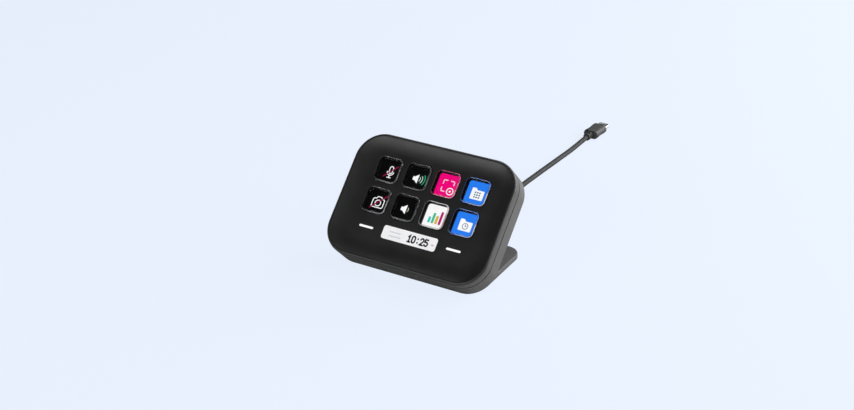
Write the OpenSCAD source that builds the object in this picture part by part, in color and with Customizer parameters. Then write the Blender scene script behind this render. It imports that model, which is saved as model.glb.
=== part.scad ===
// Eight-key display keypad on a fixed easel foot: a dished face with clear display keys, an information
// bar and two touch bars, a display stack on a carrier, a main board, and a captive cord with its plug.
//
// Row frame: X to the right, Y to the back, Z up, origin under the middle of the object on the surface.
// Face frame (everything inside on_face): x to the right, y up the face, z out of the face, zero at the rim.

/* [Housing] */
// Distance of the outer keys from the housing's sides
side_margin = 16.1; // [14.6:0.1:20]
// Height of the housing along its face
housing_h = 78; // [76:1:86]
// Thickness from the rim to the rear wall
housing_t = 17.4; // [17.2:0.2:20]
// Radius of the housing's corners
corner_r = 17.5; // [16.5:0.5:19]
// Rounding of the front rim
rim_round = 1.2; // [0.8:0.1:1.5]
// Flat land between the rounded rim and the dished slope
rim_flat = 0.4; // [0.2:0.1:0.8]
// Rounding of the rear edge
rear_round = 1; // [0.6:0.1:1.6]
// Thickness of the side walls
wall = 2; // [1.6:0.1:2.3]
// Thickness of the rear wall
rear_wall = 1.8; // [1.5:0.1:2.1]
// Depth of the front shell from the rim to the parting line
front_depth = 6.9; // [6.6:0.1:8]
// Shadow gap between the two shells
part_gap = 0.45; // [0.1:0.05:0.5]
// Height of the rear shell's locating tongue above the parting line
tongue_h = 1.4; // [1:0.1:1.8]
// Thickness of the locating tongue
tongue_t = 1; // [0.8:0.1:1.2]

/* [Face] */
// Depth of the flat face below the rim
dish_depth = 2; // [1.6:0.1:2.2]
// Width of the slope between the rim and the flat face
dish_width = 11; // [9:0.5:12]
// Thickness of the face
face_wall = 1.6; // [1.4:0.1:1.8]

/* [Keys] */
// Columns of keys
key_cols = 4; // [4]
// Rows of keys
key_rows = 2; // [2]
// Side of a key
key_size = 16; // [15:0.1:16.4]
// Corner radius of a key
key_corner_r = 3.2; // [2.4:0.1:4]
// Rounding of a key's top edge
key_round = 0.9; // [0.5:0.1:1.2]
// Spacing of the key columns
key_pitch_x = 19.6; // [19.4:0.1:20]
// Spacing of the key rows
key_pitch_y = 19.8; // [19.4:0.1:20]
// Height of the middle of the key rows above the middle of the face
key_centre_y = 7.8; // [7.4:0.1:8.2]
// How far a key stands above the flat face
key_rise = 1; // [0.6:0.1:1.4]
// Travel of a key
key_travel = 1.4; // [1:0.1:1.6]
// Width of the flange that holds a key under the face
key_flange_w = 0.9; // [0.6:0.1:1]
// Thickness of the key's flange
key_flange_t = 0.8; // [0.6:0.1:1]
// Side of the picture window under a key
window_size = 14.8; // [14:0.1:15]

/* [Info bar] */
// Width of the information bar's window
info_w = 36.2; // [32:0.2:38]
// Height of the information bar's window
info_h = 8.2; // [7:0.1:9]
// Corner radius of the information bar's window
info_corner_r = 1.4; // [1:0.1:2]
// Height of the bar's middle below the middle of the face
info_drop = 19.1; // [18.6:0.1:19.6]
// Thickness of the window lens
info_lens_t = 1.2; // [1:0.1:1.2]
// Margin of the small display round its window
info_margin = 1.4; // [1:0.1:1.6]
// Thickness of the small display
info_display_t = 1.6; // [1.4:0.1:2]

/* [Touch bars] */
// Length of a touch bar
touch_len = 9.7; // [8:0.1:11]
// Width of a touch bar
touch_w = 1.6; // [1.2:0.1:2]
// Distance of a touch bar's middle from the middle of the face
touch_x = 29.3; // [28:0.1:30]
// Depth of a touch bar's light guide below its flange
touch_guide_h = 1.6; // [1:0.1:1.8]
// Width of a touch board
touch_board_w = 15; // [12:0.5:16]
// Height of a touch board
touch_board_h = 8; // [6:0.5:9]
// Thickness of a touch board
touch_board_t = 0.8; // [0.6:0.1:1]

/* [Display stack] */
// Margin of the display panel beyond the outer keys, at the sides
panel_margin_x = 2.6; // [2:0.1:3]
// Margin of the display panel beyond the outer keys, at the top and the bottom
panel_margin_y = 2.2; // [1.6:0.1:2.4]
// Thickness of the silicone key mat
mat_t = 0.6; // [0.5:0.1:0.7]
// Thickness of the contact board
contact_t = 0.6; // [0.5:0.1:0.7]
// Thickness of the display panel
panel_t = 1.8; // [1.6:0.1:2]
// Thickness of the carrier's floor
carrier_t = 1; // [0.8:0.1:1.1]
// Thickness of the carrier's lips
carrier_lip = 1; // [0.8:0.1:1.2]
// Height of the spacers between the carrier and the main board
spacer_h = 1.1; // [1.1:0.1:1.3]
// Thickness of the main board
board_t = 1.2; // [1:0.1:1.4]
// Distance of the main board's edge from the side walls
board_edge = 3.5; // [3.2:0.1:4]

/* [Foot] */
// Tilt of the face from level
tilt = 45; // [43:1:47]
// Height of the flat underside above the housing's sharp rear lower corner
heel_cut = 0.9; // [0.6:0.1:1.4]
// Width of the foot
foot_w = 93; // [84:1:94]
// Length of the foot from the housing's sharp rear lower corner to its back edge
foot_l = 58.7; // [54:0.1:64]
// Thickness of the foot
foot_t = 3; // [2.6:0.1:3.6]
// Radius of the foot's back corners
foot_corner_r = 9; // [6:0.5:12]
// Radius of the foot's front corners, under the housing's own corners
foot_front_r = 17.5; // [14:0.5:20]
// Rounding of the foot's top edge
foot_round = 0.8; // [0.4:0.1:1.2]
// Fillet between the foot and the rear wall
foot_fillet = 4; // [2:0.5:6]
// Thickness of the rubber pad
pad_t = 1.3; // [1.2:0.1:1.6]
// How far the rubber pad stands below the foot
pad_proud = 0.5; // [0.3:0.1:0.6]
// Distance of the pad from the foot's edges
pad_edge = 5; // [4:0.5:8]

/* [Fasteners] */
// Radius of the case screws
case_screw_r = 1.25; // [1:0.05:1.4]
// Radius of the case screws' heads
case_head_r = 2.1; // [1.8:0.1:2.2]
// Height of the case screws' heads
case_head_h = 1.3; // [1:0.1:1.5]
// Depth of the case screws' heads below the rear wall
case_sink = 0.6; // [0.4:0.1:0.8]
// Radius of the screw bosses
boss_r = 2.8; // [2.6:0.1:3]
// Radius of the small screws
small_screw_r = 0.9; // [0.7:0.05:1]
// Radius of the small screws' heads
small_head_r = 1.7; // [1.5:0.1:1.8]
// Height of the small screws' heads
small_head_h = 0.9; // [0.7:0.1:0.9]
// Radius of the posts that carry the display carrier
post_r = 2.2; // [2:0.1:2.4]

/* [Cord] */
// Diameter of the cord
cord_d = 3.5; // [3.5]
// Height of the cord's outlet above the middle of the rear wall
relief_y = 18; // [18]
// Length of the strain relief outside the housing
relief_l = 18; // [18]
// Radius of the strain relief at the housing
relief_r = 3.6; // [3.2:0.1:4]
// Radius of the strain relief at its tip
relief_tip_r = 2.6; // [2.4:0.1:2.8]
// Length of the plug's grip
plug_grip_l = 20; // [16:0.5:24]
// Width of the plug's grip
plug_grip_w = 11; // [10:0.1:12.5]
// Height of the plug's grip
plug_grip_t = 6.2; // [6:0.1:7]
// Length of the plug's metal shell
plug_shell_l = 6.6; // [6.2:0.1:6.8]
// Width of the plug's metal shell
plug_shell_w = 8.3; // [8.2:0.05:8.4]
// Height of the plug's metal shell
plug_shell_t = 2.5; // [2.4:0.05:2.6]

/* [Fit] */
// Clearance round a key in its opening
key_gap = 0.2; // [0.15:0.05:0.3]
// Clearance at rest between pieces that are seated on each other
seat_gap = 0.05; // [0.02:0.01:0.08]
// Clearance round a piece in its pocket
pocket_gap = 0.15; // [0.1:0.05:0.2]
// Clearance round a screw in its pilot hole
screw_gap = 0.05; // [0.03:0.01:0.08]
// Clearance that stays under a key at the end of its travel
press_gap = 0.15; // [0.1:0.05:0.25]

/* [Hidden] */
$fn = 64;
eps = 0.01;

// Levels along the face frame's z, from the rim down to the rear wall.
face_z = -dish_depth;
under_z = face_z - face_wall;
boss_root_z = face_z - 0.5;
key_top_z = face_z + key_rise;
flange_top_z = under_z - seat_gap;
key_bottom_z = flange_top_z - key_flange_t;
mat_top_z = key_bottom_z - key_travel - press_gap;
contact_top_z = mat_top_z - mat_t;
panel_top_z = contact_top_z - contact_t - seat_gap;
panel_bottom_z = panel_top_z - panel_t;
carrier_top_z = panel_bottom_z - seat_gap;
carrier_bottom_z = carrier_top_z - carrier_t;
board_top_z = carrier_bottom_z - spacer_h;
board_bottom_z = board_top_z - board_t;
rear_z = -housing_t;
floor_z = rear_z + rear_wall;
info_lens_top_z = face_z - 0.1;
info_display_top_z = info_lens_top_z - info_lens_t - seat_gap;
info_display_bottom_z = info_display_top_z - info_display_t;
touch_flange_t = 0.8;
touch_bottom_z = under_z - touch_flange_t - touch_guide_h;
touch_board_top_z = touch_bottom_z - seat_gap;

// The dished slope is an arc that meets the flat face with no edge.
dish_arc_r = (dish_width * dish_width + dish_depth * dish_depth) / (2 * dish_depth);
dish_start = corner_r - rim_round - rim_flat - dish_width;

// The housing's width and the inner pieces' sizes, from the key field.
housing_w = (key_cols - 1) * key_pitch_x + key_size + 2 * side_margin;
panel_size = [
    (key_cols - 1) * key_pitch_x + key_size + 2 * panel_margin_x,
    (key_rows - 1) * key_pitch_y + key_size + 2 * panel_margin_y
];
flange_size = key_size + 2 * key_flange_w;
info_display_size = [info_w + 2 * info_margin, info_h + 2 * info_margin];
info_y = -info_drop;
carrier_w = panel_size[0] + 2 * (pocket_gap + carrier_lip);
carrier_high_y = key_centre_y + panel_size[1] / 2 + pocket_gap + carrier_lip;
carrier_low_y = info_y - info_display_size[1] / 2 - pocket_gap - carrier_lip;
board_size = [housing_w - 2 * (wall + board_edge), housing_h - 2 * (wall + board_edge)];

// Places of the screws: distances from the housing's sides and top, and heights on the face.
case_corner_inset = [8.6, 8.8];
case_side_inset = 7;
case_side_y = 7;
post_inset = 8.5;
post_y = [19, -21];
board_screw_x = 33;
board_screw_y = [22, -18];
case_screw_at = [
    for (side = [-1, 1]) each [
        [side * (housing_w / 2 - case_corner_inset[0]), housing_h / 2 - case_corner_inset[1]],
        [side * (housing_w / 2 - case_side_inset), case_side_y]
    ]
];
post_at = [for (side = [-1, 1], y = post_y) [side * (housing_w / 2 - post_inset), y]];
board_screw_at = [for (side = [-1, 1], y = board_screw_y) [side * board_screw_x, y]];

// Room round the bosses and the screws, and small features of the moulded and sheet pieces.
boss_room = 0.6;
shank_room = 0.2;
case_tip = 1.6;
window_corner_r = 1.5;
pedestal_wall = 1.2;
tongue_root = 1.5;
foot_lap = 4;

// Chips on the main board: place, then width, height and thickness.
processor_at = [-19, -4];
processor_size = [11, 11, 1];
memory_at = [14, -6];
memory_size = [8, 6, 0.9];

// The flat underside cuts the housing's rear lower corner off and runs on under the foot. corner_at is
// that sharp corner, in the row frame's Y and Z.
front_reach = (rim_round - housing_h / 2) * cos(tilt) + rim_round * sin(tilt) - rim_round;
corner_back = housing_t * sin(tilt) - housing_h / 2 * cos(tilt);
corner_drop = housing_h / 2 * sin(tilt) + housing_t * cos(tilt);
origin_y = (front_reach + corner_back + foot_l) / 2;
face_at = [0, -origin_y, pad_proud - heel_cut + corner_drop];
corner_at = [corner_back - origin_y, pad_proud - heel_cut];

// Flat cables: width, thickness, and how far out each one loops past the boards.
flex_t = 0.3;
flex_bend = 1.2;
socket_size = [2, 4, 1.4];
panel_flex_w = 14;
panel_flex_x = -15;
contact_flex_w = 8;
contact_flex_y = -5;
info_flex_w = 10;
flex_low_z = board_bottom_z - 1;
flex_exit = 2.4;
side_flex_exit = 1.8;
panel_flex_reach = carrier_high_y + flex_exit;
contact_flex_reach = carrier_w / 2 + side_flex_exit;
info_flex_reach = side_flex_exit - carrier_low_y;
socket_inset = 6.5;

// The strain relief's flange, collar and ribs, and the wires from it to their socket.
relief_flange = 11;
relief_flange_t = 2;
relief_collar = 1.3;
relief_collar_t = 1.2;
relief_ribs = 5;
relief_groove = 1;
relief_core = 0.45;
relief_plain = 1.6;
cord_socket_w = 9;
cord_socket_y = [3, 8];
cord_socket_t = 1.8;
wire_r = 0.4;
wire_pitch = 1.6;

// Route of the cord, in the row frame. It starts inside the strain relief's tip, and the coil lies behind
// the foot.
cord_socket_depth = 4;
coil_at = [-20, 66];
coil_mean_r = 20.7;
coil_turns_wide = 3.5;
coil_layers = 4;
coil_bundle = [coil_turns_wide * cord_d, coil_layers * cord_d];
tie_t = 0.6;
tie_w = 6;
tie_head = [6, 3];
coil_low = tie_t;
lead_route = concat(
    [outlet_point(cord_socket_depth), outlet_point(1)],
    [[0.2, 33, 24], [0.8, 38.5, 20], [1.7, 44.5, 16.9], [2.9, 51, 14.6], [4.2, 58, 13.2], [5.1, 66, 12.8]]
);
run_route = [
    [5.1, 66, 2.4], [5.1, 74, 2.3], [5.1, 83, 2], [5.2, 92, 1.8], [5.4, 102, 1.8], [5.6, 112, 1.8],
    [5.8, 121.5, 1.8], [6.5, 131, 1.8], [7.1, 141, 1.8], [7.8, 151, 1.8], [8.5, 160, 1.8],
    [9.1, 169, 1.8], [9.8, 178, 1.8], [10.4, 187, 2], [11, 196, 2.6], [11.6, 204, 3.1]
];
plug_at = run_route[len(run_route) - 1];
plug_turn = -4.2;

// ---- shared shapes ----

// Places its children in the face frame.
module on_face() {
    translate(face_at) rotate([tilt, 0, 0]) children();
}

// A flat rounded rectangle.
module round_rect(w, h, r) {
    square([w - 2 * r, h], center = true);
    square([w, h - 2 * r], center = true);
    for (sx = [-1, 1], sy = [-1, 1]) {
        translate([sx * (w / 2 - r), sy * (h / 2 - r)]) circle(r);
    }
}

// A rounded rectangle between two levels.
module round_block(w, h, r, low, high) {
    translate([0, 0, low]) linear_extrude(high - low) round_rect(w, h, r);
}

// A box between two corners.
module block(a, b) {
    translate(a) cube(b - a);
}

// Runs a half-section round a rounded rectangle: turned at the corners, straight along the sides. In the
// section x points outwards from the corner's centre and y is the height. The middle is filled from
// core[0] to core[1].
module rim_sweep(w, h, r, core) {
    half = [w / 2 - r, h / 2 - r];
    corners = [[1, 1], [-1, 1], [-1, -1], [1, -1]];
    for (k = [0:3]) {
        translate([corners[k][0] * half[0], corners[k][1] * half[1]]) rotate(90 * k)
            rotate_extrude(angle = 90) children();
        long = k % 2 == 0 ? half[1] : half[0];
        rotate(90 * k) translate([k % 2 == 0 ? half[0] : half[1], 0, 0]) rotate([90, 0, 0])
            linear_extrude(2 * long, center = true) children();
    }
    if (core[1] > core[0]) block([-half[0], -half[1], core[0]], [half[0], half[1], core[1]]);
}

// The corner of a section that a rounding takes away. dir gives the way to the sharp corner.
module rounding(x, y, r, dir = [1, 1]) {
    translate([x - dir[0] * r, y - dir[1] * r]) difference() {
        translate([dir[0] > 0 ? 0 : -r - eps, dir[1] > 0 ? 0 : -r - eps]) square(r + eps);
        circle(r);
    }
}

// Repeats its children over the key field; $key is the key's number, counted along the upper row first.
module key_field() {
    for (row = [0:key_rows - 1], col = [0:key_cols - 1]) {
        $key = row * key_cols + col + 1;
        key_place($key) children();
    }
}

module key_place(k) {
    row = floor((k - 1) / key_cols);
    col = (k - 1) % key_cols;
    translate([
        (col - (key_cols - 1) / 2) * key_pitch_x,
        key_centre_y + ((key_rows - 1) / 2 - row) * key_pitch_y
    ]) children();
}

module places(list) {
    for (p = list) translate([p[0], p[1], 0]) children();
}

// A pan-head screw with a cross recess, its head's underside at z = 0 and its shank along +z.
module screw(r, l, head_r, head_h) {
    cylinder(h = l, r = r);
    difference() {
        translate([0, 0, -head_h]) cylinder(h = head_h, r = head_r);
        for (a = [0, 90]) rotate(a) {
            translate([0, 0, -head_h]) cube([head_r * 1.2, head_r * 0.28, head_h], center = true);
        }
    }
}

// ---- housing ----

// Half-section of the face, pulled in by side and top.
module face_section(side, top, low) {
    difference() {
        translate([0, low]) square([corner_r - side, -top - low]);
        translate([0, -dish_depth - top]) square([dish_start, dish_depth + 1]);
        intersection() {
            translate([dish_start, dish_arc_r - dish_depth]) circle(dish_arc_r + top, $fn = 128);
            translate([dish_start, -dish_depth - top - 1]) square([dish_width + corner_r, dish_depth + 2]);
        }
        rounding(corner_r - side, -top, max(rim_round - side, 0.5));
    }
}

module face_wall_section() {
    difference() {
        face_section(0, 0, part_gap - front_depth);
        face_section(wall, face_wall, -front_depth - 1);
    }
}

module key_opening(size) {
    key_field() translate([0, 0, under_z - 1]) linear_extrude(face_wall + 2)
        round_rect(size, size, key_corner_r + (size - key_size) / 2);
}

// One moulding: the dished face with its openings, the side wall, and the bosses behind the face.
module front_shell() {
    color([0.17, 0.17, 0.175]) on_face() difference() {
        union() {
            rim_sweep(housing_w, housing_h, corner_r, [under_z, face_z]) face_wall_section();
            places(case_screw_at) block_cylinder(boss_r, board_bottom_z, boss_root_z);
            places(post_at) block_cylinder(post_r, carrier_top_z + seat_gap, boss_root_z);
        }
        key_opening(key_size + 2 * key_gap);
        translate([0, info_y]) {
            round_block(info_w, info_h, info_corner_r, under_z - 1, face_z + 1);
            info_pocket = info_display_size + 2 * [pocket_gap, pocket_gap];
            round_block(info_pocket[0], info_pocket[1], 0.8, under_z - 1, info_display_top_z + seat_gap);
        }
        for (sx = [-1, 1]) translate([sx * touch_x, info_y]) {
            round_block(touch_len + 0.1, touch_w + 0.1, touch_w / 2, under_z - 1, face_z + 1);
        }
        places(case_screw_at) block_cylinder(case_screw_r + screw_gap, board_bottom_z - 1, under_z - 1);
        places(post_at) block_cylinder(small_screw_r + screw_gap, carrier_top_z - 1, under_z - 1);
    }
}

module block_cylinder(r, low, high) {
    translate([0, 0, low]) cylinder(h = high - low, r = r);
}

module rear_wall_section() {
    difference() {
        translate([0, rear_z]) square([corner_r, housing_t - front_depth]);
        translate([-1, floor_z]) square([corner_r - wall + 1, housing_t]);
        rounding(corner_r, rear_z, rear_round, [1, -1]);
    }
}

module tongue_section() {
    outer = corner_r - wall - pocket_gap;
    low = -front_depth - tongue_root;
    translate([outer - tongue_t, low]) square([tongue_t, tongue_root + tongue_h]);
    translate([outer - tongue_t, low]) square([tongue_t + pocket_gap + eps, tongue_root - seat_gap]);
}

// The foot's plate with corners of one radius, from the underside up.
module foot_plate(r) {
    plate_l = foot_l + foot_lap;
    translate([0, corner_at[0] + foot_l - plate_l / 2, pad_proud])
        rim_sweep(foot_w, plate_l, r, [0, foot_t]) difference() {
            square([r, foot_t]);
            rounding(r, foot_t, foot_round);
        }
}

// The fillet in the corner between the foot and the rear wall. It ends at the foot's rounded top edge,
// where the front corners have narrowed the foot.
module foot_fillet_piece() {
    run = foot_fillet / tan(tilt / 2);
    plate_top = pad_proud + foot_t;
    inner = [corner_at[0] + (plate_top - corner_at[1]) / tan(tilt), plate_top];
    high = inner + run * [cos(tilt), sin(tilt)];
    short = foot_front_r - min(inner[0] - corner_at[0] + foot_lap, foot_front_r);
    inset = foot_front_r - sqrt(foot_front_r * foot_front_r - short * short) + foot_round;
    rotate([90, 0, 90]) linear_extrude(foot_w - 2 * inset, center = true) difference() {
        polygon([
            inner - [0, 1], inner + [run, -1], inner + [run, foot_fillet], high,
            high + [-sin(tilt), cos(tilt)]
        ]);
        translate(inner + [run, foot_fillet]) circle(foot_fillet);
    }
}

// The foot runs back from the housing's rear lower corner, inside the housing's own outline. Its front
// corners have one radius and its back corners another.
module foot() {
    middle_y = corner_at[0] + foot_l / 2;
    inset = rear_round / 2;
    intersection() {
        union() {
            intersection() {
                foot_plate(foot_corner_r);
                block([-foot_w, middle_y - 1, 0], [foot_w, middle_y + foot_l, housing_t]);
            }
            intersection() {
                foot_plate(foot_front_r);
                block([-foot_w, middle_y - 2 * foot_l, 0], [foot_w, middle_y, housing_t]);
            }
            foot_fillet_piece();
        }
        on_face() round_block(
            housing_w - 2 * inset, housing_h - 2 * inset, corner_r - inset, rear_z - housing_h, floor_z
        );
    }
}

// One moulding: the rear wall, the side wall with its tongue, the screw wells and the foot.
module rear_shell() {
    color([0.42, 0.42, 0.43]) difference() {
        union() {
            on_face() {
                rim_sweep(housing_w, housing_h, corner_r, [rear_z, floor_z]) rear_wall_section();
                difference() {
                    rim_sweep(housing_w, housing_h, corner_r, [0, 0]) tongue_section();
                    places(case_screw_at) block_cylinder(boss_r + 0.4, board_bottom_z, 0);
                }
                places(case_screw_at) block_cylinder(boss_r, floor_z - eps, board_bottom_z - seat_gap);
            }
            foot();
        }
        on_face() {
            places(case_screw_at) {
                block_cylinder(case_screw_r + shank_room, rear_z - 1, board_bottom_z + 1);
                block_cylinder(case_head_r + shank_room, rear_z - 1, rear_z + case_sink + case_head_h);
            }
            translate([0, relief_y]) block_cylinder(relief_r + pocket_gap, rear_z - 1, floor_z + 1);
        }
        translate([0, corner_at[0], 0])
            block([-housing_w, -housing_t, -housing_t], [housing_w, housing_t, pad_proud]);
        pad_space(pocket_gap, pad_t + seat_gap);
    }
}

module pad_space(gap, high) {
    pad_l = foot_l - 2 * pad_edge;
    pad_corner_r = max(foot_corner_r - pad_edge, 1) + 1;
    translate([0, corner_at[0] + foot_l / 2, 0])
        round_block(foot_w - 2 * pad_edge + 2 * gap, pad_l + 2 * gap, pad_corner_r + gap, 0, high);
}

module foot_pad() {
    color([0.1, 0.1, 0.1]) pad_space(0, pad_t);
}

// ---- keys ----

// A clear cap: a block with a rounded top edge, held under the face by its flange.
module key_cap(k) {
    color([0.6, 0.65, 0.7, 0.5]) on_face() key_place(k) {
        rim_sweep(key_size, key_size, key_corner_r, [key_bottom_z, key_top_z]) difference() {
            translate([0, key_bottom_z]) square([key_corner_r, key_top_z - key_bottom_z]);
            rounding(key_corner_r, key_top_z, key_round);
        }
        round_block(flange_size, flange_size, key_corner_r + key_flange_w, key_bottom_z, flange_top_z);
    }
}

// The grid that guides the keys' flanges and keeps each key's light to itself.
module key_guide() {
    cell = flange_size + 2 * key_gap;
    color([0.12, 0.12, 0.12]) on_face() difference() {
        translate([0, key_centre_y])
            round_block(panel_size[0], panel_size[1], 1, mat_top_z + seat_gap, under_z - seat_gap);
        key_field() round_block(cell, cell, key_corner_r + key_flange_w + key_gap, mat_top_z - 1, 0);
    }
}

// A sheet of the stack under the keys, open under each picture.
module windowed_sheet(low, high, window) {
    difference() {
        translate([0, key_centre_y]) round_block(panel_size[0], panel_size[1], 1, low, high);
        key_field() round_block(window, window, window_corner_r, low - 1, high + 1);
    }
}

module key_mat() {
    color([0.25, 0.25, 0.26]) on_face() windowed_sheet(contact_top_z + seat_gap, mat_top_z, window_size);
}

module contact_board() {
    color([0.1, 0.35, 0.2]) on_face() windowed_sheet(contact_top_z - contact_t, contact_top_z, window_size);
}

module display_panel() {
    color([0.05, 0.05, 0.07]) on_face() translate([0, key_centre_y])
        round_block(panel_size[0], panel_size[1], 0.6, panel_bottom_z, panel_top_z);
}

// The tray that holds the display panel and carries the boards: floor, lips, pedestals and spacers.
module display_carrier() {
    half_w = carrier_w / 2;
    lip_high_z = contact_top_z - seat_gap;
    color([0.3, 0.3, 0.32]) on_face() difference() {
        union() {
            block([-half_w, carrier_low_y, carrier_bottom_z], [half_w, carrier_high_y, carrier_top_z]);
            translate([0, key_centre_y]) difference() {
                lip_size = panel_size + 2 * (pocket_gap + carrier_lip) * [1, 1];
                round_block(lip_size[0], lip_size[1], 1, carrier_bottom_z, lip_high_z);
                open_size = panel_size + 2 * pocket_gap * [1, 1];
                round_block(open_size[0], open_size[1], 0.5, carrier_top_z, 0);
            }
            translate([0, info_y]) difference() {
                pedestal_high = info_display_bottom_z - seat_gap;
                size = info_display_size;
                round_block(size[0], size[1] - 1, 1, carrier_bottom_z, pedestal_high);
                round_block(
                    size[0] - 2 * pedestal_wall, size[1] - 1 - 2 * pedestal_wall, 0.5, carrier_top_z, 0
                );
            }
            for (sx = [-1, 1]) translate([sx * touch_x, info_y]) difference() {
                pedestal_high = touch_board_top_z - touch_board_t - seat_gap;
                round_block(touch_board_w, touch_board_h, 1, carrier_bottom_z, pedestal_high);
                hollow = [touch_board_w - 2 * pedestal_wall, touch_board_h - 2 * pedestal_wall];
                round_block(hollow[0], hollow[1], 0.5, carrier_top_z, 0);
            }
            for (p = post_at) {
                ear_x = sign(p[0]) * (half_w - 1);
                translate([0, 0, carrier_bottom_z]) linear_extrude(carrier_t) {
                    translate(p) circle(post_r + 0.6);
                    translate([min(p[0], ear_x), p[1] - post_r]) square([abs(p[0] - ear_x), 2 * post_r]);
                }
            }
            places(board_screw_at) block_cylinder(post_r, board_top_z + seat_gap, carrier_bottom_z + eps);
        }
        places(post_at) block_cylinder(small_screw_r + screw_gap, carrier_bottom_z - 1, 0);
        places(board_screw_at) block_cylinder(small_screw_r + screw_gap, board_top_z - 1, 0);
        translate([panel_flex_x, carrier_high_y]) flex_slot(panel_flex_w);
        translate([-half_w, contact_flex_y]) rotate(90) flex_slot(contact_flex_w);
        translate([0, carrier_low_y]) flex_slot(info_flex_w);
    }
}

// The gap in a lip that a flat cable leaves by.
module flex_slot(width) {
    half = [width / 2 + 0.5, carrier_lip + 0.8];
    block([-half[0], -half[1], carrier_top_z + eps], [half[0], half[1], 0]);
}

// ---- information bar and touch bars ----

module info_lens() {
    color([0.8, 0.85, 0.9, 0.5]) on_face() translate([0, info_y]) round_block(
        info_w - 2 * seat_gap, info_h - 2 * seat_gap, info_corner_r,
        info_lens_top_z - info_lens_t, info_lens_top_z
    );
}

module info_display() {
    color([0.9, 0.9, 0.92]) on_face() translate([0, info_y]) round_block(
        info_display_size[0], info_display_size[1], 0.6, info_display_bottom_z, info_display_top_z
    );
}

// A light guide with a flange behind the face and round ends.
module touch_bar(side) {
    color([0.95, 0.95, 0.95]) on_face() translate([side * touch_x, info_y]) {
        round_block(touch_len, touch_w, touch_w / 2 - eps, touch_bottom_z, face_z + 0.05);
        round_block(
            touch_len + 2, touch_w + 2, 1.2, under_z - touch_flange_t - seat_gap, under_z - seat_gap
        );
    }
}

module touch_board_piece(side) {
    color([0.1, 0.35, 0.2]) on_face() translate([side * touch_x, info_y]) round_block(
        touch_board_w, touch_board_h, 0.8, touch_board_top_z - touch_board_t, touch_board_top_z
    );
}

// ---- boards, cables and screws ----

module main_board() {
    color([0.08, 0.32, 0.18]) on_face() difference() {
        round_block(board_size[0], board_size[1], 4, board_bottom_z, board_top_z);
        places(case_screw_at) block_cylinder(boss_r + boss_room, board_bottom_z - 1, 0);
        places(board_screw_at) block_cylinder(small_screw_r + shank_room, board_bottom_z - 1, 0);
        cut_z = board_bottom_z - 1;
        half = board_size / 2;
        block(
            [panel_flex_x - panel_flex_w / 2 - 1, carrier_high_y + 1, cut_z],
            [panel_flex_x + panel_flex_w / 2 + 1, half[1] + 1, 0]
        );
        block(
            [-half[0] - 1, contact_flex_y - contact_flex_w / 2 - 1, cut_z],
            [-carrier_w / 2 - 0.4, contact_flex_y + contact_flex_w / 2 + 1, 0]
        );
        block(
            [-info_flex_w / 2 - 1, -half[1] - 1, cut_z], [info_flex_w / 2 + 1, carrier_low_y - 0.4, 0]
        );
    }
}

module chip(at, size) {
    color([0.08, 0.08, 0.09]) on_face() translate([at[0], at[1], board_bottom_z - size[2] / 2])
        cube(size, center = true);
}

// The path of a flat cable that leaves a piece at (from, high), loops out to reach, and comes back under
// the main board to its socket.
module flex_loop(width, from, high, reach, socket) {
    rotate([90, 0, 0]) linear_extrude(width, center = true) {
        bend_x = reach - flex_bend;
        translate([from, high - flex_t]) square([bend_x - from, flex_t]);
        translate([reach - flex_t, flex_low_z + flex_bend])
            square([flex_t, high - flex_low_z - 2 * flex_bend]);
        translate([socket, flex_low_z]) square([bend_x - socket, flex_t]);
        for (up = [-1, 1]) {
            turn_y = up > 0 ? high - flex_bend : flex_low_z + flex_bend;
            translate([bend_x, turn_y]) difference() {
                circle(flex_bend);
                circle(flex_bend - flex_t);
                translate([-2 * flex_bend, -2 * flex_bend]) square([2 * flex_bend, 4 * flex_bend]);
                translate([-eps, up > 0 ? -2 * flex_bend : 0]) square([2 * flex_bend, 2 * flex_bend]);
            }
        }
    }
}

module panel_flex() {
    color([0.75, 0.45, 0.15]) on_face() translate([panel_flex_x, 0]) rotate(90) flex_loop(
        panel_flex_w, key_centre_y + panel_size[1] / 2, panel_bottom_z + 1,
        panel_flex_reach, panel_flex_reach - socket_inset
    );
}

module contact_flex() {
    color([0.75, 0.45, 0.15]) on_face() translate([0, contact_flex_y]) rotate(180) flex_loop(
        contact_flex_w, panel_size[0] / 2, contact_top_z - seat_gap,
        contact_flex_reach, contact_flex_reach - socket_inset
    );
}

module info_flex() {
    color([0.75, 0.45, 0.15]) on_face() rotate(-90) flex_loop(
        info_flex_w, info_display_size[1] / 2 - info_y, info_display_bottom_z + 1,
        info_flex_reach, info_flex_reach - socket_inset
    );
}

// The three sockets that the flat cables end in.
module flex_socket(width, edge) {
    high = board_bottom_z;
    block(
        [edge - socket_size[1], -(width + socket_size[0]) / 2, high - socket_size[2]],
        [edge, (width + socket_size[0]) / 2, high]
    );
}

module flex_sockets() {
    color([0.85, 0.82, 0.75]) on_face() {
        translate([panel_flex_x, 0]) rotate(90)
            flex_socket(panel_flex_w, panel_flex_reach - socket_inset);
        translate([0, contact_flex_y]) rotate(180)
            flex_socket(contact_flex_w, contact_flex_reach - socket_inset);
        rotate(-90) flex_socket(info_flex_w, info_flex_reach - socket_inset);
    }
}

module carrier_screws() {
    color([0.6, 0.6, 0.62]) on_face() places(post_at)
        translate([0, 0, carrier_bottom_z - seat_gap]) screw(small_screw_r, 4, small_head_r, small_head_h);
}

module board_screws() {
    color([0.6, 0.6, 0.62]) on_face() places(board_screw_at)
        translate([0, 0, board_bottom_z - seat_gap])
            screw(small_screw_r, board_t + spacer_h + carrier_t, small_head_r, small_head_h);
}

module case_screws() {
    head_z = rear_z + case_sink + case_head_h - seat_gap;
    shank_l = under_z - case_tip - head_z;
    color([0.2, 0.2, 0.2]) on_face() places(case_screw_at)
        translate([0, 0, head_z]) screw(case_screw_r, shank_l, case_head_r, case_head_h);
}

// ---- cord ----

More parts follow.
